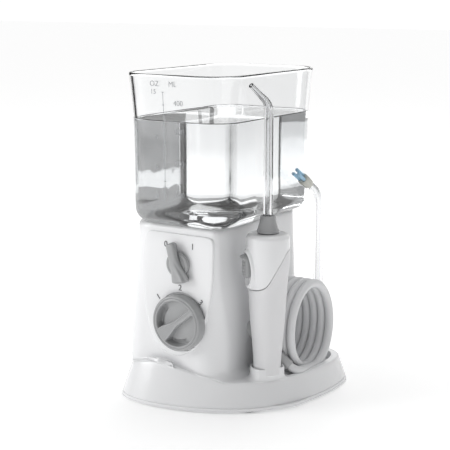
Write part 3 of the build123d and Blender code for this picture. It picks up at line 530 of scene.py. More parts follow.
def make_cup(rim_round=0.7):
    """The ring round the handle's foot: a turned wall with a bore, a soft foot on the deck and a notch for the hose.
    Where the notch is, the ring's own height drops to the well."""
    foot = [(CUP_R + 3.0 * (1 - math.sin(t)), DECK_Z + 3.0 * (1 - math.cos(t))) for t in np.linspace(0, np.pi / 2, 7)]
    lip = quarter_round(CUP_R, CUP_RIM, rim_round, 5)
    bore = [(CUP_BORE_R + 0.3, CUP_RIM), (CUP_BORE_R, CUP_RIM - 0.4), (CUP_BORE_R, CUP_FLOOR), (3.4, CUP_FLOOR),
            (3.2, WELL_Z)]
    profile = np.array([(CUP_R + 3.0, DECK_Z - 3.0)] + foot + lip + bore)
    angle = full_turn(160)
    radius, height = profile[:, 0, None], profile[:, 1, None]
    x = HANDLE_AT[0] + radius * np.cos(angle)
    y = HANDLE_AT[1] + radius * np.sin(angle)
    across = radius * np.sin(angle - NOTCH)
    opened = smooth_step((3.6 - np.abs(across)) / 0.5) * (np.cos(angle - NOTCH) > 0)
    low = np.minimum(height, DECK_Z - 4.6)
    edge = -base_distance(x, y)
    spill = np.clip(DECK_INSET + 0.6 - edge, 0, None)
    x, y = x - spill * np.cos(angle), y - spill * np.sin(angle)
    z = height + (low - height) * opened
    return crease(grid_surface("handle_cup", np.stack([x, y, z], -1), cap_last=True), 45)


def make_pocket():
    """The pocket of the spare tip: a turned ring with a lip and a blind bore."""
    top = DECK_Z + 0.5
    profile = [(POCKET_R, DECK_Z - 5.8), (POCKET_R, top - 0.5), (POCKET_R - 0.15, top - 0.15), (POCKET_R - 0.5, top),
               (POCKET_BORE_R + 0.5, top), (POCKET_BORE_R + 0.1, top - 0.2), (POCKET_BORE_R, top - 0.6),
               (POCKET_BORE_R, 7.0)]
    ring = turned("spare_tip_pocket", profile, (*POCKET_AT, 0), cap_last=True)
    return crease(ring, 45)


def make_tower(foot_fillet, top_round):
    """Tower skin: rounded rectangles that shrink from the foot to the head. The foot sweeps out to meet the base,
    the top edge is a quarter round, and the flat top closes in to the socket's bore."""
    parameters = loop_parameters(14, 26)
    shares, normal = parameters
    foot, head = np.array(TOWER_FOOT), np.array(TOWER_HEAD)
    to_corner = (1 + shares[:, 0]) * (1 - shares[:, 1]) / 4

    def loop(z, grow):
        bounds = foot + (head - foot) * np.expand_dims((z - DECK_Z) / (TOWER_TOP - DECK_Z), -1)
        half_x, half_y = (bounds[..., 1] - bounds[..., 0]) / 2 + grow, (bounds[..., 3] - bounds[..., 2]) / 2 + grow
        centre_x, centre_y = (bounds[..., 0] + bounds[..., 1]) / 2, (bounds[..., 2] + bounds[..., 3]) / 2
        tight = (TOWER_CORNER_R - CHEEK_TOP_R) * smooth_step((z - CHEEK_FROM) / (CHEEK_TO - CHEEK_FROM))
        radius = TOWER_CORNER_R + grow - tight * to_corner
        return rounded_loops(half_x, half_y, radius, centre_x, centre_y, z, parameters)

    start = loop(np.full(normal.shape, DECK_Z), 0.0)
    by_well = smooth_step((start[:, 1] + 16.0) / 6.0) * smooth_step((start[:, 0] - 8.0) / 6.0)
    fillet = foot_fillet * (1 - 0.97 * by_well) * (1 - 0.75 * smooth_step((-44.0 - start[:, 1]) / 4.0))
    outside = start[:, :2] + 2.0 * np.stack([np.cos(normal), np.sin(normal)], -1)
    ground = DECK_Z + hill_height(outside[:, 0]) * smooth_step((-44.0 - outside[:, 1]) / 5.0)
    ground = ground - by_well * 4.0
    rows = [loop(ground - 1.5, fillet)]
    for turn in np.linspace(0, np.pi / 2, 9):
        rows.append(loop(ground + fillet * (1 - math.cos(turn)), fillet * (1 - math.sin(turn))))
    bend = TOWER_TOP - top_round
    for share in np.linspace(0.04, 1, 22):
        rows.append(loop(ground + fillet + (bend - ground - fillet) * share, 0.0))
    for turn in np.linspace(0, np.pi / 2, 9)[1:]:
        flat = np.full(normal.shape, bend + top_round * math.sin(turn))
        rows.append(loop(flat, -top_round * (1 - math.cos(turn))))
    points = np.array(rows)
    reach = np.hypot(points[..., 0], points[..., 1])
    bearing = np.arctan2(points[..., 1], points[..., 0])
    limit = star_outline(base_distance, bearing, (0.0, 0.0), -(DECK_INSET + 0.9))
    pull = 1 - (1 - np.minimum(1.0, limit / reach)) * smooth_step((CREST_Z + 12 - points[..., 2]) / 12)
    points[..., 0] *= pull
    points[..., 1] *= pull
    rim = points[-1]
    angle = np.arctan2(rim[:, 1] - TANK_MID[1], rim[:, 0] - TANK_MID[0])
    hole = np.stack([TANK_MID[0] + SOCKET_R * np.cos(angle), TANK_MID[1] + SOCKET_R * np.sin(angle),
                     np.full(len(angle), TOWER_TOP)], -1)
    closing = [rim + (hole - rim) * share for share in (0.3, 0.6, 0.85, 1.0)]
    bore = [hole - (0, 0, 0.8), hole - (0, 0, 6.0)]
    skin = grid_surface("tower_skin", np.concatenate([points, closing, bore]))
    return crease(skin, 40)


def make_shield(edge_round=0.9, depth=10.0):
    """The shield-shaped face in rings round the dial: the outer rings are its side and its rounded edge, the inner
    ones its flat front, and the last ones the sunk seat of the dial."""
    angle = full_turn(360)
    outline = star_outline(shield_distance, angle, (DIAL_AT[0], DIAL_AT[2]))
    seat_r = (DIAL_HIGH[0] - DIAL_LOW[0]) / 2 + 0.8
    rows = [(outline, depth), (outline, edge_round)]
    for turn in np.linspace(0, np.pi / 2, 6)[1:]:
        rows.append((outline - edge_round * (1 - math.cos(turn)), edge_round * (1 - math.sin(turn))))
    flat = outline - edge_round
    seat = np.minimum(seat_r, flat - 0.05)
    for share in (0.2, 0.4, 0.6, 0.8, 0.93, 1.0):
        rows.append((flat + (seat + 0.3 - flat) * share, 0.0))
    rows += [(seat + 0.08, 0.1), (seat, 0.35), (seat, 1.15), (seat - 0.4, 1.15), (seat * 0.5, 1.15),
             (seat * 0.02, 1.15)]
    points = []
    for radius, back in rows:
        x, z = DIAL_AT[0] + radius * np.cos(angle), DIAL_AT[2] + radius * np.sin(angle)
        points.append(np.stack([x, front_wall(z) - FACE_T + back, z], -1))
    return crease(grid_surface("front_shield", np.array(points), cap_last=True), 45)


# ---------------------------------------------------------------- controls
def make_dial():
    """The dial in rings about its axis. Its front height is the rim's, less two scoops on either side of a slanted
    bar; each scoop is deepest along its lower left wall, and the bar widens that way."""
    radius = (DIAL_HIGH[0] - DIAL_LOW[0]) / 2
    thick = DIAL_HIGH[1] - DIAL_LOW[1]
    angle = full_turn(220)
    edge = 1.3
    rings = np.concatenate([np.linspace(radius - edge, 13.0, 14), np.linspace(12.6, 0.25, 40)])[:, None]
    along = rings * np.cos(angle - math.radians(38))
    across = rings * np.sin(angle - math.radians(38))
    bar = 1.7 + 2.6 * smooth_step((-along + 1.0) / 14.0)
    room = -smooth_overlap([rings - 14.2 + 0 * along, bar - np.abs(across)], 0.35)
    wall = smooth_step(room / 0.8)
    tilt = 0.75 + 0.25 * smooth_step((6.0 - along) / 14.0)
    channel = smooth_step((rings - 10.4) / 0.9) * smooth_step((-along + 1.0) / 6.0) * wall
    lip = 0.25 * np.exp(-((room + 0.5) / 0.45) ** 2)
    line = 0.3 * np.exp(-((rings - 15.7) / 0.2) ** 2)
    height = thick - 3.1 * wall * tilt - 1.9 * channel + lip - line
    side = [(radius - 0.6, 0.0), (radius - 0.15, 0.3), (radius, 0.8)]
    side += quarter_round(radius, thick, edge, 7, 1.4)
    outer = np.array([[(r * math.cos(a), r * math.sin(a), h) for a in angle] for r, h in side])
    front = np.stack([rings * np.cos(angle), rings * np.sin(angle), height], -1)
    local = np.concatenate([outer, front])
    points = np.stack([DIAL_AT[0] + local[..., 0], DIAL_HIGH[1] - local[..., 2], DIAL_AT[2] + local[..., 1]], -1)
    return crease(grid_surface("dial_knob", points, cap_first=True, cap_last=True), 50)


def make_lever():
    """The switch lever: a rounded section carried down the lever's length, narrow at the top and splayed at the
    bottom, with a ridge that wanders to the right as it goes down."""
    lean = math.radians(14)
    top, bottom = 14.0, -11.6
    share = (1 - np.cos(np.linspace(0, np.pi, 56))) / 2
    s = (bottom + (top - bottom) * share)[:, None]
    around = full_turn(64)
    from_end = np.minimum(s - bottom, top - s)
    taper = np.sqrt(np.clip(1 - (1 - np.clip(from_end / 1.8, 0, 1)) ** 2, 0.0004, 1))
    down = smooth_step((6.0 - s) / 18.0)
    half = (3.1 + 3.0 * down ** 1.5) * taper
    centre = 1.0 * down
    low, high = 1.4, (6.7 - 1.2 * down)
    across = half * np.sign(np.cos(around)) * np.abs(np.cos(around)) ** 0.6
    lift = (np.sin(around) + 1) / 2
    rise = np.where(np.sin(around) > 0, 0.5 + 0.5 * np.abs(np.sin(around)) ** 0.55, 0.5 - 0.5 * lift)
    ridge = centre + 2.2 * down - 0.5
    crest = 1.0 * np.exp(-((across - ridge) / (1.5 - 0.4 * down)) ** 2) * (np.sin(around) > 0) * down
    step = -0.9 * smooth_step((across - ridge - 0.6) / 0.8) * (np.sin(around) > 0) * down
    outwards = low + (high - low) * rise * taper ** 0.5 + (crest + step) * lift
    across = across + centre
    x = LEVER_AT[0] + across * math.cos(lean) - s * math.sin(lean)
    z = LEVER_AT[2] + across * math.sin(lean) + s * math.cos(lean)
    face = front_wall(LEVER_AT[2]) - FACE_T
    points = np.stack(np.broadcast_arrays(x, face - outwards, z), -1)
    return grid_surface("switch_lever", points[:, ::-1], cap_first=True, cap_last=True, flip=True)


def make_lever_disc():
    """The round foot of the lever: a turned disc with a soft edge and one fine ring."""
    face = front_wall(LEVER_AT[2]) - FACE_T
    profile = [(7.4, 0.3), (7.9, 0.5), (8.0, 0.9)] + quarter_round(8.0, 3.0, 0.9, 6)
    profile += [(6.4, 3.0), (6.25, 2.85), (6.0, 2.85), (5.85, 3.0), (0.2, 3.2)]
    at = (LEVER_AT[0], face, LEVER_AT[2])
    return crease(turned("switch_disc", profile, at, axis=(0, -1, 0), cap_first=True, cap_last=True), 45)


def raised_text(name, text, size, at, turn=0.0, lift=0.12):
    """A word or number as a thin mesh that stands on a wall facing -Y: text x goes to X and text y goes to Z."""
    curve = bpy.data.curves.new(name, "FONT")
    curve.body = text
    curve.size = size * MM
    curve.extrude = lift * MM / 2
    curve.align_x = "CENTER"
    curve.align_y = "CENTER"
    curve.resolution_u = 4
    writer = new_object(name + "_curve", curve)
    bpy.context.view_layer.update()
    mesh = bpy.data.meshes.new_from_object(writer.evaluated_get(bpy.context.evaluated_depsgraph_get()))
    bpy.data.objects.remove(writer)
    place = Matrix.Translation(Vector(at) * MM) @ Matrix.Rotation(math.radians(90), 4, "X")
    mesh.transform(place @ Matrix.Rotation(math.radians(turn), 4, "Z"))
    mesh.name = name
    return new_object(name, mesh)


def joined(name, objects):
    """Several mesh objects as one."""
    bpy.ops.object.select_all(action="DESELECT")
    for obj in objects:
        obj.select_set(True)
    bpy.context.view_layer.objects.active = objects[0]
    bpy.ops.object.join()
    objects[0].select_set(False)
    objects[0].name = name
    objects[0].data.name = name
    return objects[0]


# ---------------------------------------------------------------- tank
TANK_HALF = (TANK_HIGH - TANK_LOW)[:2] / 2 - 3.0
TANK_CORNER_R, TANK_WALL, TANK_FLOOR, TANK_EDGE_R = 18.0, 2.0, 2.5, 9.0
FLARE, FLARE_FROM, FLARE_BEND = 3.0, 52.0, 1.6
VALVE_BORE_R = 6.0


def flare(z):
    """How far the wall has leaned out at a height over the tank's underside: a power curve up to the rim."""
    rim = TANK_HIGH[2] - TANK_LOW[2]
    return FLARE * np.clip((z - FLARE_FROM) / (rim - FLARE_FROM), 0, 1) ** FLARE_BEND


def tank_rows(inset, floor, top, floor_rings):
    """Half sizes, corner radii and heights of the tank's outline, drawn in by the inset: rings on the floor, the
    rounded bottom edge, the upright wall with its flare. Heights count from the tank's underside."""
    edge = TANK_EDGE_R - inset
    rows = [(r, r, r, z) for r, z in floor_rings]
    full = np.array([TANK_HALF[0] - inset, TANK_HALF[1] - inset, TANK_CORNER_R - inset])
    flat = full - edge
    last = np.array([rows[-1][0]] * 3)
    for share in (0.15, 0.35, 0.6, 0.85):
        rows.append((*(last + (flat - last) * share), floor))
    for turn in np.linspace(0, np.pi / 2, 12):
        rows.append((*(flat + edge * math.sin(turn)), floor + edge * (1 - math.cos(turn))))
    for z in np.concatenate([np.linspace(floor + edge, FLARE_FROM, 6)[1:], np.linspace(FLARE_FROM, top, 30)[1:]]):
        grow = float(flare(z))
        rows.append((full[0] + grow, full[1] + grow, full[2] + grow, z))
    return np.array(rows)


def make_tank():
    """The tank as one closed skin: out over the underside, up the outer wall, over the rim and back down the inner
    wall and floor to the bore. The floor has two moulded rings."""
    height = TANK_HIGH[2] - TANK_LOW[2]
    outer = tank_rows(0.0, 0.0, height - 0.9, [(VALVE_BORE_R, 0.0), (14.0, 0.0), (24.0, 0.0)])
    bumps = [(VALVE_BORE_R, 0.0), (8.6, 0.0), (9.0, 0.9), (10.2, 1.0), (10.6, 0.1), (15.5, 0.0), (16.2, 0.8),
             (17.6, 0.9), (18.4, 0.1), (24.0, 0.0)]
    inner = tank_rows(TANK_WALL, TANK_FLOOR, height - 0.9, [(r, TANK_FLOOR + z) for r, z in bumps])
    rim = []
    for turn in np.linspace(0, np.pi, 7)[1:-1]:
        share = (1 - math.cos(turn)) / 2
        ring = outer[-1] + (inner[-1] - outer[-1]) * share
        ring[3] = height - 0.9 + 0.9 * math.sin(turn)
        rim.append(ring)
    rows = np.concatenate([outer, np.array(rim), inner[::-1]])[:, :, None]
    points = rounded_loops(rows[:, 0], rows[:, 1], rows[:, 2], TANK_MID[0], TANK_MID[1], TANK_LOW[2] + rows[:, 3],
                           loop_parameters(18, 10))
    return grid_surface("tank_shell", points, wrap_rows=True)


def make_water(level, overlap=0.4, meniscus=0.9):
    """The water: a closed body that laps into the wall and the floor a little, with a rim that climbs the wall."""
    inset, floor = TANK_WALL - overlap, TANK_FLOOR - overlap
    rows = tank_rows(inset, floor, level, [(0.3, floor), (12.0, floor), (24.0, floor)])
    last = rows[-1]
    surface = []
    for share, rise in ((0.0, 0.0), (0.012, -0.45), (0.03, -0.75), (0.07, -0.9), (0.3, -0.9), (0.6, -0.9)):
        surface.append((*(last[:3] * (1 - share)), level + meniscus * rise / 0.9))
    surface.append((0.3, 0.3, 0.3, level - meniscus))
    rows = np.concatenate([rows, np.array(surface)[1:]])[:, :, None]
    points = rounded_loops(rows[:, 0], rows[:, 1], rows[:, 2], TANK_MID[0], TANK_MID[1], TANK_LOW[2] + rows[:, 3],
                           loop_parameters(18, 10))
    return grid_surface("tank_water", points, cap_first=True, cap_last=True)


def make_tank_marks(scale_x=-16.2, tick=2.2):
    """The fill scale on the tank's front wall: an upright line, ticks, numbers in two units."""

    def wall_y(height):
        return TANK_MID[1] - TANK_HALF[1] - flare(height - TANK_LOW[2]) - 0.12

    words = [("OZ", 4.6, -21.8, 199.4), ("ML", 4.6, -8.7, 199.4), ("15", 4.2, -23.0, 194.6), ("400", 4.6, -5.4, 188.2),
             ("300", 4.6, -5.4, 171.2), ("200", 4.6, -5.4, 152.2), ("100", 4.6, -5.4, 133.4), ("9", 3.8, -22.3, 167.0),
             ("6", 3.8, -22.3, 149.5), ("3", 3.8, -22.3, 132.0)]
    marks = [raised_text("mark_" + text, text, size, (x, wall_y(z), z)) for text, size, x, z in words]
    low, high = 129.4, 194.6
    z = np.linspace(low, high, 30)
    y = wall_y(z)
    line = np.stack([np.stack([np.full(len(z), scale_x + side * 0.22), y, z], -1) for side in (1, -1)], 1)
    marks.append(grid_surface("mark_line", line, wrap_columns=False))
    for tick_z in np.linspace(low + 4, high, 9):
        tick_y = float(np.interp(tick_z, z, y))
        ends = [[(scale_x + side * tick / 2, tick_y, tick_z + h) for side in (1, -1)] for h in (0.2, -0.2)]
        marks.append(grid_surface("mark_tick", np.array(ends), wrap_columns=False))
    return joined("tank_marks", marks)


# ---------------------------------------------------------------- handle
GRIP_PROFILE = [(20.8, 8.5), (29.0, 8.6), (42.0, 9.5), (54.0, 10.6), (67.0, 11.4), (80.0, 12.3), (91.0, 13.3),
                (99.0, 13.4), (105.0, 13.3), (109.4, 13.2)]
SHELL_R = 13.3
SEAM = [(-14.0, 101.0), (-8.0, 98.5), (-2.5, 91.0), (5.5, 78.5), (13.5, 75.0)]
HANDLE_TOP = float(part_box("handle_shell")[1][2] / MM)
HANDLE_EDGE = 3.0
OVAL_Z, OVAL_HALF_W, OVAL_HALF_H = 88.0, 6.2, 11.0
BUTTON_Z, BUTTON_L, BUTTON_W = 104.0, 8.0, 9.0
RELIEF_FROM = 95.0


def over_handle(z):
    """The point of the handle's axis at a height."""
    return np.array([HANDLE_AT[0], HANDLE_AT[1], z])


def handle_radius(z):
    """Radius of the handle at a height: a smooth curve through its profile."""
    return curve_through(GRIP_PROFILE, z)


def seam_height(angle):
    """Height of the seam between grip and shell at each angle about the handle's axis."""
    return curve_through(SEAM, SHELL_R * np.cos(angle - SLIDER_DIR))


def handle_relief(angle, z):
    """What stands out of or is sunk in the handle's turned shape: the raised oval round the slider with its sunk
    middle, and the seat of the release button at the back."""
    off = (angle - SLIDER_DIR + np.pi) % (2 * np.pi) - np.pi
    oval = np.hypot(off * SHELL_R / OVAL_HALF_W, (z - OVAL_Z) / OVAL_HALF_H)
    raised = 1.5 * smooth_step((1.22 - oval) / 0.2) - 2.1 * smooth_step((0.93 - oval) / 0.08)
    back = (angle - SLIDER_DIR + 2 * np.pi) % (2 * np.pi) - np.pi
    room = np.minimum(BUTTON_W / 2 + 0.35 - np.abs(back) * SHELL_R, BUTTON_L / 2 + 0.35 - np.abs(z - BUTTON_Z))
    return raised - 1.8 * smooth_step(room / 0.3)


def handle_grid(rows, angle):
    """Points about the handle's axis from rows of (radius, height), each a value or one per angle."""
    grid = []
    for radius, z in rows:
        radius, z = np.broadcast_to(radius, angle.shape), np.broadcast_to(z, angle.shape)
        grid.append(np.stack([HANDLE_AT[0] + radius * np.cos(angle), HANDLE_AT[1] + radius * np.sin(angle), z], -1))
    return np.array(grid)


def make_grip(seam_gap=0.22):
    """The textured lower part: the turned profile from the foot up to the seam's curve, with soft edges."""
    angle = full_turn(280)
    bottom = GRIP_PROFILE[0][0]
    top = seam_height(angle) - seam_gap
    rows = [(2.75, bottom + 2.0), (2.75, bottom), (6.0, bottom), (GRIP_PROFILE[0][1] - 1.2, bottom)]
    rows += [(GRIP_PROFILE[0][1] - 1.2 * (1 - math.sin(t)), bottom + 1.2 * (1 - math.cos(t)))
             for t in np.linspace(0, np.pi / 2, 6)[1:]]
    for share in np.linspace(0.03, 1, 84):
        z = bottom + 1.2 + (top - 0.5 - bottom - 1.2) * share
        rows.append((handle_radius(z) + handle_relief(angle, z) * (z > RELIEF_FROM), z))
    edge = handle_radius(top) + handle_relief(angle, top) * (top > RELIEF_FROM)
    rows += [(edge - 0.12, top - 0.2), (edge - 0.5, top), (edge - 2.0, top)]
    return crease(grid_surface("handle_grip_skin", handle_grid(rows, angle)), 50)


def make_shell(seam_gap=0.22):
    """The smooth upper part: from the seam's curve to the top edge's round, the flat top and the neck's bore."""
    angle = full_turn(320)
    low = seam_height(angle) + seam_gap
    edge = handle_radius(low) + handle_relief(angle, low) * (low > RELIEF_FROM)
    rows = [(edge - 2.0, low), (edge - 0.45, low), (edge - 0.1, low + 0.2)]
    bend = HANDLE_TOP - HANDLE_EDGE
    for share in np.linspace(0.02, 1, 110):
        z = low + (bend - low) * share
        rows.append((handle_radius(z) + handle_relief(angle, z), z))
    for turn in np.linspace(0, np.pi / 2, 11)[1:]:
        z = bend + HANDLE_EDGE * math.sin(turn)
        seat = handle_relief(angle, np.minimum(z, 107.9)) * (z < 108.3)
        rows.append((handle_radius(bend) - HANDLE_EDGE * (1 - math.cos(turn)) + np.minimum(seat, 0), z))
    rows += [(9.0, HANDLE_TOP), (6.4, HANDLE_TOP), (6.2, HANDLE_TOP - 0.3), (4.45, HANDLE_TOP - 0.3),
             (4.45, HANDLE_TOP - 5.0)]
    return crease(grid_surface("handle_shell_skin", handle_grid(rows, angle)), 50)


def make_slider():
    """The pause slider: rings of a rounded oblong about its middle. Its front is crowned, has cross ribs and turns up
    into a thumb catch at the top end."""
    angle = full_turn(120)
    half_w, half_l = 3.9, 7.2
    cos, sin = np.cos(angle), np.sin(angle)
    unit = (np.abs(cos / half_w) ** 3.2 + np.abs(sin / half_l) ** 3.2) ** (-1 / 3.2)
    seat = SHELL_R - 0.9

    def front(v, z):
        ribs = 0.32 * np.abs(np.cos(np.pi * z / 1.9))
        ribs = ribs * smooth_step((3.6 - z) / 1.0) * smooth_step((3.6 - np.abs(v)) / 1.2)
        catch = 2.0 * np.exp(-((z - 5.6) / 1.3) ** 2)
        return SHELL_R + 2.5 - 0.05 * v ** 2 + ribs + catch - 0.6 * smooth_step((-z - 4.5) / 3)

    grid = []
    for share, out in ((0.96, seat - 0.4), (1.0, seat)):
        grid.append((share * unit * cos, share * unit * sin, np.full(angle.shape, out)))
    for share, drop in ((1.0, 1.1), (0.985, 0.6), (0.95, 0.25), (0.9, 0.06)):
        v, z = share * unit * cos, share * unit * sin
        grid.append((v, z, front(v, z) - drop))
    for share in np.linspace(0.86, 0.02, 44):
        v, z = share * unit * cos, share * unit * sin
        grid.append((v, z, front(v, z)))
    local = np.array(grid)
    v, z, out = local[:, 0], local[:, 1], local[:, 2]
    x = HANDLE_AT[0] + out * math.cos(SLIDER_DIR) - v * math.sin(SLIDER_DIR)
    y = HANDLE_AT[1] + out * math.sin(SLIDER_DIR) + v * math.cos(SLIDER_DIR)
    points = np.stack([x, y, z + OVAL_Z + 2.0], -1)
    return crease(grid_surface("pause_slider_skin", points, cap_first=True, cap_last=True), 50)


def make_collar():
    """The collar at the handle's neck: a turned foot with a step, a waisted cone and a rounded top with the tip's
    bore."""
    base = float(HANDLE_TOP + 0.4)
    top = float(COLLAR_HIGH[2])
    profile = [(4.4, base - 4.0), (4.4, base), (6.5, base), (6.85, base + 0.2), (6.9, base + 0.6), (6.8, base + 1.4),
               (6.5, base + 2.1), (6.3, base + 2.4), (6.25, base + 2.6), (5.6, base + 5.0), (5.1, base + 7.4),
               (4.75, top - 0.8), (4.6, top - 0.3), (4.3, top), (3.4, top), (3.1, top - 0.3), (3.1, top - 4.0)]
    return crease(turned("neck_collar", profile, over_handle(0.0)), 50)


# ---------------------------------------------------------------- tips
JET_BEND_Z, JET_RISE, JET_REACH, JET_DIR = 187.5, 11.8, 14.6, math.radians(255)
SPARE_AT, SPARE_BEND_Z, SPARE_RISE, SPARE_REACH = POCKET_AT, 123.5, 17.5, 31.0
BRISTLE_L, SPARE_COLLAR_L = 10.0, 10.0


def make_jet():
    """The jet tip: a hollow tube carried up its line and over a bend, slimmer from the bend to the end."""
    bend = over_handle(JET_BEND_Z)
    end = bend + (JET_REACH * math.cos(JET_DIR), JET_REACH * math.sin(JET_DIR), JET_RISE)
    path = bent_path([over_handle(HANDLE_TOP - 8.5), bend, end], 5.0, 0.6)
    height = path[:, 2]
    slim = smooth_step((height - JET_BEND_Z + 6) / (JET_RISE + 4))
    radius = 3.0 - 0.15 * (height - height[0]) / 80 - 1.25 * slim
    bore = 1.35 - 0.75 * slim
    return swept("jet_tube", path, radius, sides=48, hollow=bore)


def spare_line():
    """The spare tip's line: its foot, its bend, its end, and the unit step along the leaning stretch."""
    foot = np.array([*SPARE_AT, float(SPARE_LOW[2])])
    bend = np.array([*SPARE_AT, SPARE_BEND_Z])
    end = bend + (0.0, -SPARE_REACH, SPARE_RISE)
    return foot, bend, end, (end - bend) / np.linalg.norm(end - bend)


def make_spare_tube():
    """The spare tip's tube: hollow, thick at the foot and a little slimmer above."""
    foot, bend, end, along = spare_line()
    path = bent_path([foot, bend, end - along * (BRISTLE_L + 3.2)], 9.0, 0.8)
    radius = 3.4 - 0.75 * smooth_step((path[:, 2] - 60) / 60)
    return swept("spare_tube", path, radius, sides=48, hollow=np.full(len(path), 1.4))


def make_spare_collar():
    """The collar of the spare tip: a short cone with soft ends, turned about the leaning stretch."""
    foot, bend, end, along = spare_line()
    start = end - along * (BRISTLE_L + SPARE_COLLAR_L)
    r0, r1, length = 3.15, 3.55, SPARE_COLLAR_L
    profile = [(2.7, 0.0), (r0 - 0.3, 0.05), (r0, 0.5), (r1 - 0.2, 3.0), (r1, 7.0), (r1, length - 0.5),
               (r1 - 0.35, length), (0.3, length + 0.02)]
    return crease(turned("spare_collar", profile, start, axis=along, cap_last=True), 50)


def make_bristles(tufts=3, filaments=19, filament_r=0.19):
    """Three tufts of round filaments on the collar's face. Each filament is a slim tube that leans out a little, set
    in rings of six and twelve round the tuft's middle one."""
    foot, bend, end, along = spare_line()
    face = end - along * BRISTLE_L
    side = np.array([1.0, 0.0, 0.0])
    over = np.cross(along, side)
    rows, points, faces = 4, [], []
    for tuft in range(tufts):
        spot = np.pi / 2 + tuft * 2 * np.pi / tufts
        for k in range(filaments):
            ring = 0 if k == 0 else (1 if k <= 6 else 2)
            turn = 0.0 if k == 0 else ((k - 1) * np.pi / 3 if k <= 6 else (k - 7) * np.pi / 6)
            u = 1.9 * math.cos(spot) + ring * 0.44 * math.cos(turn)
            v = 1.9 * math.sin(spot) + ring * 0.44 * math.sin(turn)
            reach = BRISTLE_L - 0.1 * ring
            share = np.linspace(0, 1, rows)[:, None]
            spread = 1 + 0.02 * share ** 2
            line = face + along * (reach * share - 0.5 * (1 - share)) + side * u * spread + over * v * spread
            angle = full_turn(6)
            around = np.cos(angle)[:, None] * side + np.sin(angle)[:, None] * over
            tube = line[:, None] + filament_r * around[None]
            start = sum(len(p) for p in points)
            points.append(tube.reshape(-1, 3))
            quads = grid_faces(rows, 6, wrap_columns=True) + start
            faces += quads.tolist() + [list(range(start, start + 6))[::-1],
                                       list(range(start + 6 * (rows - 1), start + 6 * rows))]
    return add_mesh("spare_bristles", np.concatenate(points), faces)


# ---------------------------------------------------------------- hose
SLEEVE_FROM, SLEEVE_TO = np.array([10.0, -15.2, 52.1]), np.array([43.0, -5.5, 22.6])
HOSE_OUT = [tuple(SLEEVE_TO), (45.9, -4.6, 20.6), (47.6, -0.9, 19.4), (47.2, 3.4, 18.6)]
HOSE_IN = [(22.3, -4.9, 37.0), (23.6, -4.6, 29.0), (26.6, -1.4, 21.6), (30.6, 2.8, 17.4), (34.2, 4.4, 16.4),
           (37.3, 2.0, 16.0), (39.6, -1.2, 15.9), (40.3, -4.9, 15.9), (39.44, -8.15, 16.0)]
COIL_AT, COIL_HALF = np.array([18.6, 44.0]), np.array([22.8, 27.0])
COIL_FIRST_X, COIL_PITCH, COIL_TURNS, POINTS_A_TURN = 44.2, 5.5, 5, 16


def hose_route():
    """The hose's points: from the sleeve into the outermost turn along the bottom, round five turns that step inwards,
    and down the front of the innermost turn to the cup's notch. Points stand outside the turns by what the curve
    cuts inside them."""
    cut = 1 / math.cos(np.pi / POINTS_A_TURN) ** 0.75
    first, last = -8.0, 360.0 * (COIL_TURNS - 1) + 268.0
    count = round((last - first) / 360 * POINTS_A_TURN) + 1
    turn = np.linspace(first, last, count)
    x = COIL_FIRST_X - COIL_PITCH * np.clip((turn - 180) / 360, -0.5, COIL_TURNS - 1)
    y = COIL_AT[0] + cut * COIL_HALF[0] * np.sin(np.radians(turn))
    z = COIL_AT[1] - cut * COIL_HALF[1] * np.cos(np.radians(turn))
    return HOSE_OUT + list(zip(x, y, z)) + HOSE_IN


def make_hose(radius):
    """The hose: one smooth curve of round section over the route."""
    route = hose_route()
    curve = bpy.data.curves.new("hose_line", "CURVE")
    curve.dimensions = "3D"
    spline = curve.splines.new("NURBS")
    spline.points.add(len(route) - 1)
    for point, place in zip(spline.points, route):
        point.co = (*(np.array(place) * MM), 1)
    spline.order_u = 3
    spline.use_endpoint_u = True
    spline.resolution_u = 4
    curve.bevel_depth = radius
    curve.bevel_resolution = 6
    curve.use_fill_caps = True
    return new_object("hose", curve)


def make_sleeve():
    """The tapered sleeve that the hose leaves the tower in: a flange at the wall and a cone with two fine rings."""
    axis = SLEEVE_TO - SLEEVE_FROM
    length = float(np.linalg.norm(axis))
    profile = [(3.0, 0.0), (5.4, 0.0), (5.5, 0.4), (5.3, 1.5), (4.1, 2.2), (3.95, 4.0)]
    for place in (0.72, 0.8):
        r = 3.95 - 0.6 * place
        profile += [(r, length * place - 0.5), (r - 0.2, length * place - 0.25), (r - 0.2, length * place + 0.25),
                    (r, length * place + 0.5)]
    profile += [(3.35, length - 0.8), (3.2, length - 0.2), (3.0, length), (2.72, length), (2.72, length - 6.0)]
    return crease(turned("hose_sleeve_skin", profile, SLEEVE_FROM, axis=axis / length, sides=56), 50)


def make_boot(radius):
    """The hose's last stretch, from the notch's end round the elbow up into the handle's foot."""
    foot = over_handle(GRIP_PROFILE[0][0] + 2.0)
    path = bent_path([foot, over_handle(HOSE_IN[-1][2]), HOSE_IN[-1]], 5.5, 0.6)
    return swept("hose_boot_skin", path, radius, sides=36)


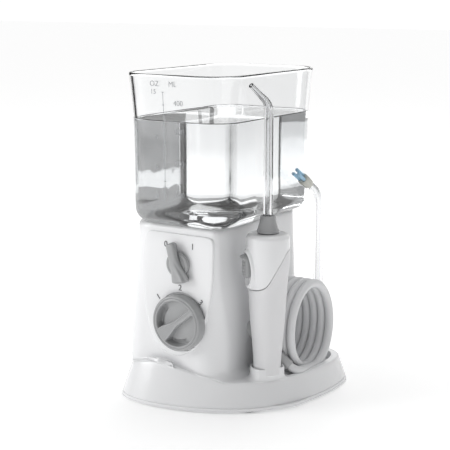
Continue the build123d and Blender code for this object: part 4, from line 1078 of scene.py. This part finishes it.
# ---------------------------------------------------------------- settings
class FlosserShape(bpy.types.PropertyGroup):
    """Sizes of the moulded pieces that can be changed."""

    wall: bpy.props.FloatProperty(name="Wall", description="Wall of the base's skin", default=0.0022, unit="LENGTH")
    deck_edge: bpy.props.FloatProperty(name="Deck edge", description="Round where the skirt turns on to the deck",
                                       default=0.0016, unit="LENGTH")
    foot_fillet: bpy.props.FloatProperty(name="Tower foot", description="Sweep between the tower and the deck",
                                         default=0.006, unit="LENGTH")
    tower_edge: bpy.props.FloatProperty(name="Tower top edge", description="Round along the top of the tower",
                                        default=0.003, unit="LENGTH")
    water_level: bpy.props.FloatProperty(name="Water level", description="Height of the water over the tank's floor",
                                         default=0.0645, unit="LENGTH")
    hose_radius: bpy.props.FloatProperty(name="Hose radius", description="Half the hose's outer diameter",
                                         default=0.0027, unit="LENGTH")
    hose_length: bpy.props.FloatProperty(name="Hose length", description="Length from the sleeve to the cup's notch",
                                         default=0.825, unit="LENGTH")


class FlosserLook(bpy.types.PropertyGroup):
    """Colours and the view."""

    body: bpy.props.FloatVectorProperty(name="Body", description="Colour of the glossy body", size=3, subtype="COLOR",
                                        default=(0.86, 0.865, 0.875))
    grip: bpy.props.FloatVectorProperty(name="Grip", description="Colour of the textured grip", size=3,
                                        subtype="COLOR", default=(0.80, 0.80, 0.81))
    control: bpy.props.FloatVectorProperty(name="Controls", description="Colour of dial, lever and slider", size=3,
                                           subtype="COLOR", default=(0.36, 0.365, 0.37))
    azimuth: bpy.props.FloatProperty(name="Camera azimuth", description="How far the camera stands to the right",
                                     default=math.radians(33), subtype="ANGLE")
    elevation: bpy.props.FloatProperty(name="Camera elevation", description="How far the camera looks down",
                                       default=math.radians(11), subtype="ANGLE")
    distance: bpy.props.FloatProperty(name="Camera distance", description="From the camera to the object's middle",
                                      default=0.8, unit="LENGTH")


def shape():
    """The scene's sizes."""
    return bpy.context.scene.flosser_shape


def look():
    """The scene's colours and view."""
    return bpy.context.scene.flosser_look


# ---------------------------------------------------------------- operators
class FLOSSER_OT_hose(bpy.types.Operator):
    """Make the coiled hose, its tapered sleeve and the elbow under the handle"""

    bl_idname = "flosser.hose"
    bl_label = "Hose"

    def execute(self, context):
        radius = shape().hose_radius
        sleeve = settle(make_sleeve(), "base", "hose_white", "hose_sleeve", finish="sleeve_grey")
        hose = settle(make_hose(radius), "base", "hose_white", "hose_coil", "hose_to_base", "hose_to_handle")
        boot = make_boot(radius / MM)
        boot.data.materials.append(finish_of("hose_white"))
        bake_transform(boot)
        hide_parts("hose_boot")
        return {"FINISHED"}


class FLOSSER_OT_base(bpy.types.Operator):
    """Make the base's skin, the cup of the handle and the pocket of the spare tip"""

    bl_idname = "flosser.base"
    bl_label = "Base"

    def execute(self, context):
        settle(make_base(shape().deck_edge / MM, shape().wall / MM), "base", "body_white", "base_tray")
        settle(make_cup(), "base", "body_white")
        settle(make_pocket(), "base", "body_white")
        return {"FINISHED"}


class FLOSSER_OT_tower(bpy.types.Operator):
    """Make the tower's skin and its shield-shaped face"""

    bl_idname = "flosser.tower"
    bl_label = "Tower"

    def execute(self, context):
        tower = make_tower(shape().foot_fillet / MM, shape().tower_edge / MM)
        settle(tower, "base", "body_white", "tower_housing")
        settle(make_shield(), "base", "body_white")
        return {"FINISHED"}


class FLOSSER_OT_controls(bpy.types.Operator):
    """Make the pressure dial, the switch lever and the numbers round them"""

    bl_idname = "flosser.controls"
    bl_label = "Controls"

    def execute(self, context):
        settle(make_dial(), "dial", "control_grey", "pressure_dial")
        settle(make_lever(), "switch", "control_grey", "power_lever")
        settle(make_lever_disc(), "switch", "control_grey")
        places = (("1", -24.6, 67.6, 38), ("2", -8.6, 75.3, 0), ("3", 6.6, 68.0, -38), ("0", -19.6, 101.3, 0),
                  ("I", 0.2, 101.6, 0))
        words = [raised_text(f"number_{text}", text, 5.2, (x, front_wall(z) - FACE_T - 0.08, z), turn, 0.3)
                 for text, x, z, turn in places]
        settle(joined("control_numbers", words), "base", "control_grey", finish="print_grey")
        return {"FINISHED"}


class FLOSSER_OT_tank(bpy.types.Operator):
    """Make the clear tank, the water in it and its fill scale"""

    bl_idname = "flosser.tank"
    bl_label = "Tank"

    def execute(self, context):
        settle(make_tank(), "tank", "clear_plastic", "tank")
        settle(make_water(shape().water_level / MM), "tank", "clear_plastic", finish="water")
        settle(make_tank_marks(), "tank", "clear_plastic", finish="print_frost")
        return {"FINISHED"}


class FLOSSER_OT_handle(bpy.types.Operator):
    """Make the handle's grip and shell, its slider and its collar"""

    bl_idname = "flosser.handle"
    bl_label = "Handle"

    def execute(self, context):
        settle(make_grip(), "handle", "grip_white", "handle_grip")
        settle(make_shell(), "handle", "body_white", "handle_shell")
        settle(make_slider(), "slider", "control_grey", "pause_slider")
        settle(make_collar(), "collar", "control_grey", "tip_collar", finish="collar_grey")
        return {"FINISHED"}


class FLOSSER_OT_tips(bpy.types.Operator):
    """Make the jet tip and the spare tip with its collar and bristles"""

    bl_idname = "flosser.tips"
    bl_label = "Tips"

    def execute(self, context):
        settle(make_jet(), "jet", "clear_plastic", "jet_tip", finish="clear_tube")
        settle(make_spare_tube(), "spare_tip", "clear_plastic", "spare_tip_tube", finish="clear_tube")
        settle(make_spare_collar(), "spare_tip", "collar_beige", "spare_tip_collar")
        settle(make_bristles(), "spare_tip", "bristle_blue", "spare_tip_bristles")
        return {"FINISHED"}


class FLOSSER_OT_inner(bpy.types.Operator):
    """Give every piece that keeps its own shape the finish of its slot"""

    bl_idname = "flosser.inner"
    bl_label = "Kept pieces"

    def execute(self, context):
        for part in frame["record"]["subparts"]:
            node = frame["nodes"][part["node"]]
            node.data.materials.clear()
            node.data.materials.append(finish_of(part["material_slot"]))
        return {"FINISHED"}


def area_light(name, place, target, size, power):
    """A rectangular light at a place, turned to the target."""
    data = bpy.data.lights.new(name, "AREA")
    data.shape = "RECTANGLE"
    data.size, data.size_y = size
    data.energy = power
    light = new_object(name, data)
    light.location = place
    light.rotation_euler = (Vector(target) - Vector(place)).to_track_quat("-Z", "Y").to_euler()


def plate(name, half_w, half_h, material, place=Matrix()):
    """A flat rectangle of the studio."""
    mesh = bpy.data.meshes.new(name)
    mesh.from_pydata([(-half_w, -half_h, 0), (half_w, -half_h, 0), (half_w, half_h, 0), (-half_w, half_h, 0)], [],
                     [(0, 1, 2, 3)])
    mesh.transform(place)
    mesh.materials.append(material)
    obj = new_object(name, mesh)
    return obj


def card(name, place, target, size, colour):
    """A flat card beside the object that only its reflections see."""
    material, _, _, shader = new_material(name)
    fill(shader, Base_Color=(*colour, 1), Roughness=1.0)
    turn = (Vector(target) - Vector(place)).to_track_quat("Z", "Y").to_matrix().to_4x4()
    obj = plate(name, size[0] / 2, size[1] / 2, material, Matrix.Translation(Vector(place)) @ turn)
    obj.visible_camera = False
    obj.visible_diffuse = False
    obj.visible_shadow = False


def floor_glow(near=0.22, far=0.60, radius=0.50):
    """The studio floor: matt white, with a glow that grows with the distance from the object, so that the floor
    runs into the background and still takes a shadow."""
    material, nodes, link, shader = new_material("floor_white")
    fill(shader, Base_Color=(0.93, 0.93, 0.93, 1), Roughness=0.7, Emission_Color=(1, 1, 1, 1))
    coords = nodes.new("ShaderNodeTexCoord")
    distance = nodes.new("ShaderNodeVectorMath")
    distance.operation = "LENGTH"
    growth = nodes.new("ShaderNodeMapRange")
    fill(growth, From_Max=radius, To_Min=near, To_Max=far)
    link(coords.outputs["Object"], distance.inputs[0])
    link(distance.outputs["Value"], growth.inputs["Value"])
    link(growth.outputs["Result"], shader.inputs["Emission Strength"])
    return material


class FLOSSER_OT_stage(bpy.types.Operator):
    """Set the camera, the pale floor, the soft lights and the dark cards that draw the edges of clear pieces"""

    bl_idname = "flosser.stage"
    bl_label = "Stage"

    def execute(self, context):
        scene = context.scene
        scene.view_settings.view_transform = "Standard"
        view = look()
        target = Vector((-0.012, 0.005, 0.105))
        flat = math.cos(view.elevation)
        back = Vector((math.sin(view.azimuth) * flat, -math.cos(view.azimuth) * flat, math.sin(view.elevation)))
        camera = new_object("camera", bpy.data.cameras.new("camera"))
        camera.location = target + back * view.distance
        camera.rotation_euler = back.to_track_quat("Z", "Y").to_euler()
        camera.data.sensor_width = 36.0
        camera.data.lens = 99.36
        camera.data.clip_start = 0.01
        camera.data.dof.use_dof = False
        scene.camera = camera

        reach = 6.0
        plate("floor", reach, reach, floor_glow())

        world = bpy.data.worlds.new("studio")
        scene.world = world
        world.use_nodes = True
        nodes, link = world.node_tree.nodes, world.node_tree.links.new
        soft = nodes["Background"]
        fill(soft, Color=(1, 1, 1, 1), Strength=0.40)
        bright = nodes.new("ShaderNodeBackground")
        fill(bright, Color=(1, 1, 1, 1), Strength=1.05)
        seen = nodes.new("ShaderNodeLightPath")
        mix = nodes.new("ShaderNodeMixShader")
        link(seen.outputs["Is Camera Ray"], mix.inputs["Fac"])
        link(soft.outputs[0], mix.inputs[1])
        link(bright.outputs[0], mix.inputs[2])
        link(mix.outputs[0], nodes["World Output"].inputs["Surface"])

        middle = (0, 0, 0.1)
        area_light("key", (-0.86, -0.72, 0.46), middle, (0.5, 0.6), 5.0)
        area_light("top", (0.0, 0.2, 1.1), middle, (0.9, 0.7), 4.0)
        area_light("back", (-0.3, 1.0, 0.5), middle, (0.8, 0.6), 1.6)
        dark = (0.02, 0.02, 0.02)
        card("card_right", (0.72, 0.10, 0.2), middle, (0.75, 0.8), dark)
        card("card_left", (-0.85, 0.15, 0.15), middle, (0.45, 0.6), dark)
        card("card_back", (0.50, 0.77, 0.12), middle, (0.40, 0.5), (0.42, 0.42, 0.42))
        return {"FINISHED"}


class FLOSSER_PT_panel(bpy.types.Panel):
    """Lists the pieces in the order in which they are made"""

    bl_idname = "FLOSSER_PT_panel"
    bl_label = "Water flosser"
    bl_space_type = "VIEW_3D"
    bl_region_type = "UI"
    bl_category = "Flosser"

    def draw(self, context):
        for group in (context.scene.flosser_shape, context.scene.flosser_look):
            for name in group.bl_rna.properties.keys():
                if name not in {"rna_type", "name"}:
                    self.layout.prop(group, name)
        for step in STEPS:
            self.layout.operator(step.bl_idname)


STEPS = (FLOSSER_OT_stage, FLOSSER_OT_hose, FLOSSER_OT_inner, FLOSSER_OT_base, FLOSSER_OT_tower,
         FLOSSER_OT_controls, FLOSSER_OT_tank, FLOSSER_OT_handle, FLOSSER_OT_tips)
CLASSES = (FlosserShape, FlosserLook, *STEPS, FLOSSER_PT_panel)


def register():
    for cls in CLASSES:
        bpy.utils.register_class(cls)
    bpy.types.Scene.flosser_shape = bpy.props.PointerProperty(type=FlosserShape)
    bpy.types.Scene.flosser_look = bpy.props.PointerProperty(type=FlosserLook)


def unregister():
    del bpy.types.Scene.flosser_look
    del bpy.types.Scene.flosser_shape
    for cls in reversed(CLASSES):
        bpy.utils.unregister_class(cls)


def main():
    register()
    bpy.ops.flosser.stage()
    bpy.ops.flosser.hose()
    bpy.ops.flosser.inner()
    bpy.ops.flosser.base()
    bpy.ops.flosser.tower()
    bpy.ops.flosser.controls()
    bpy.ops.flosser.tank()
    bpy.ops.flosser.handle()
    bpy.ops.flosser.tips()


if __name__ == "__main__":
    main()
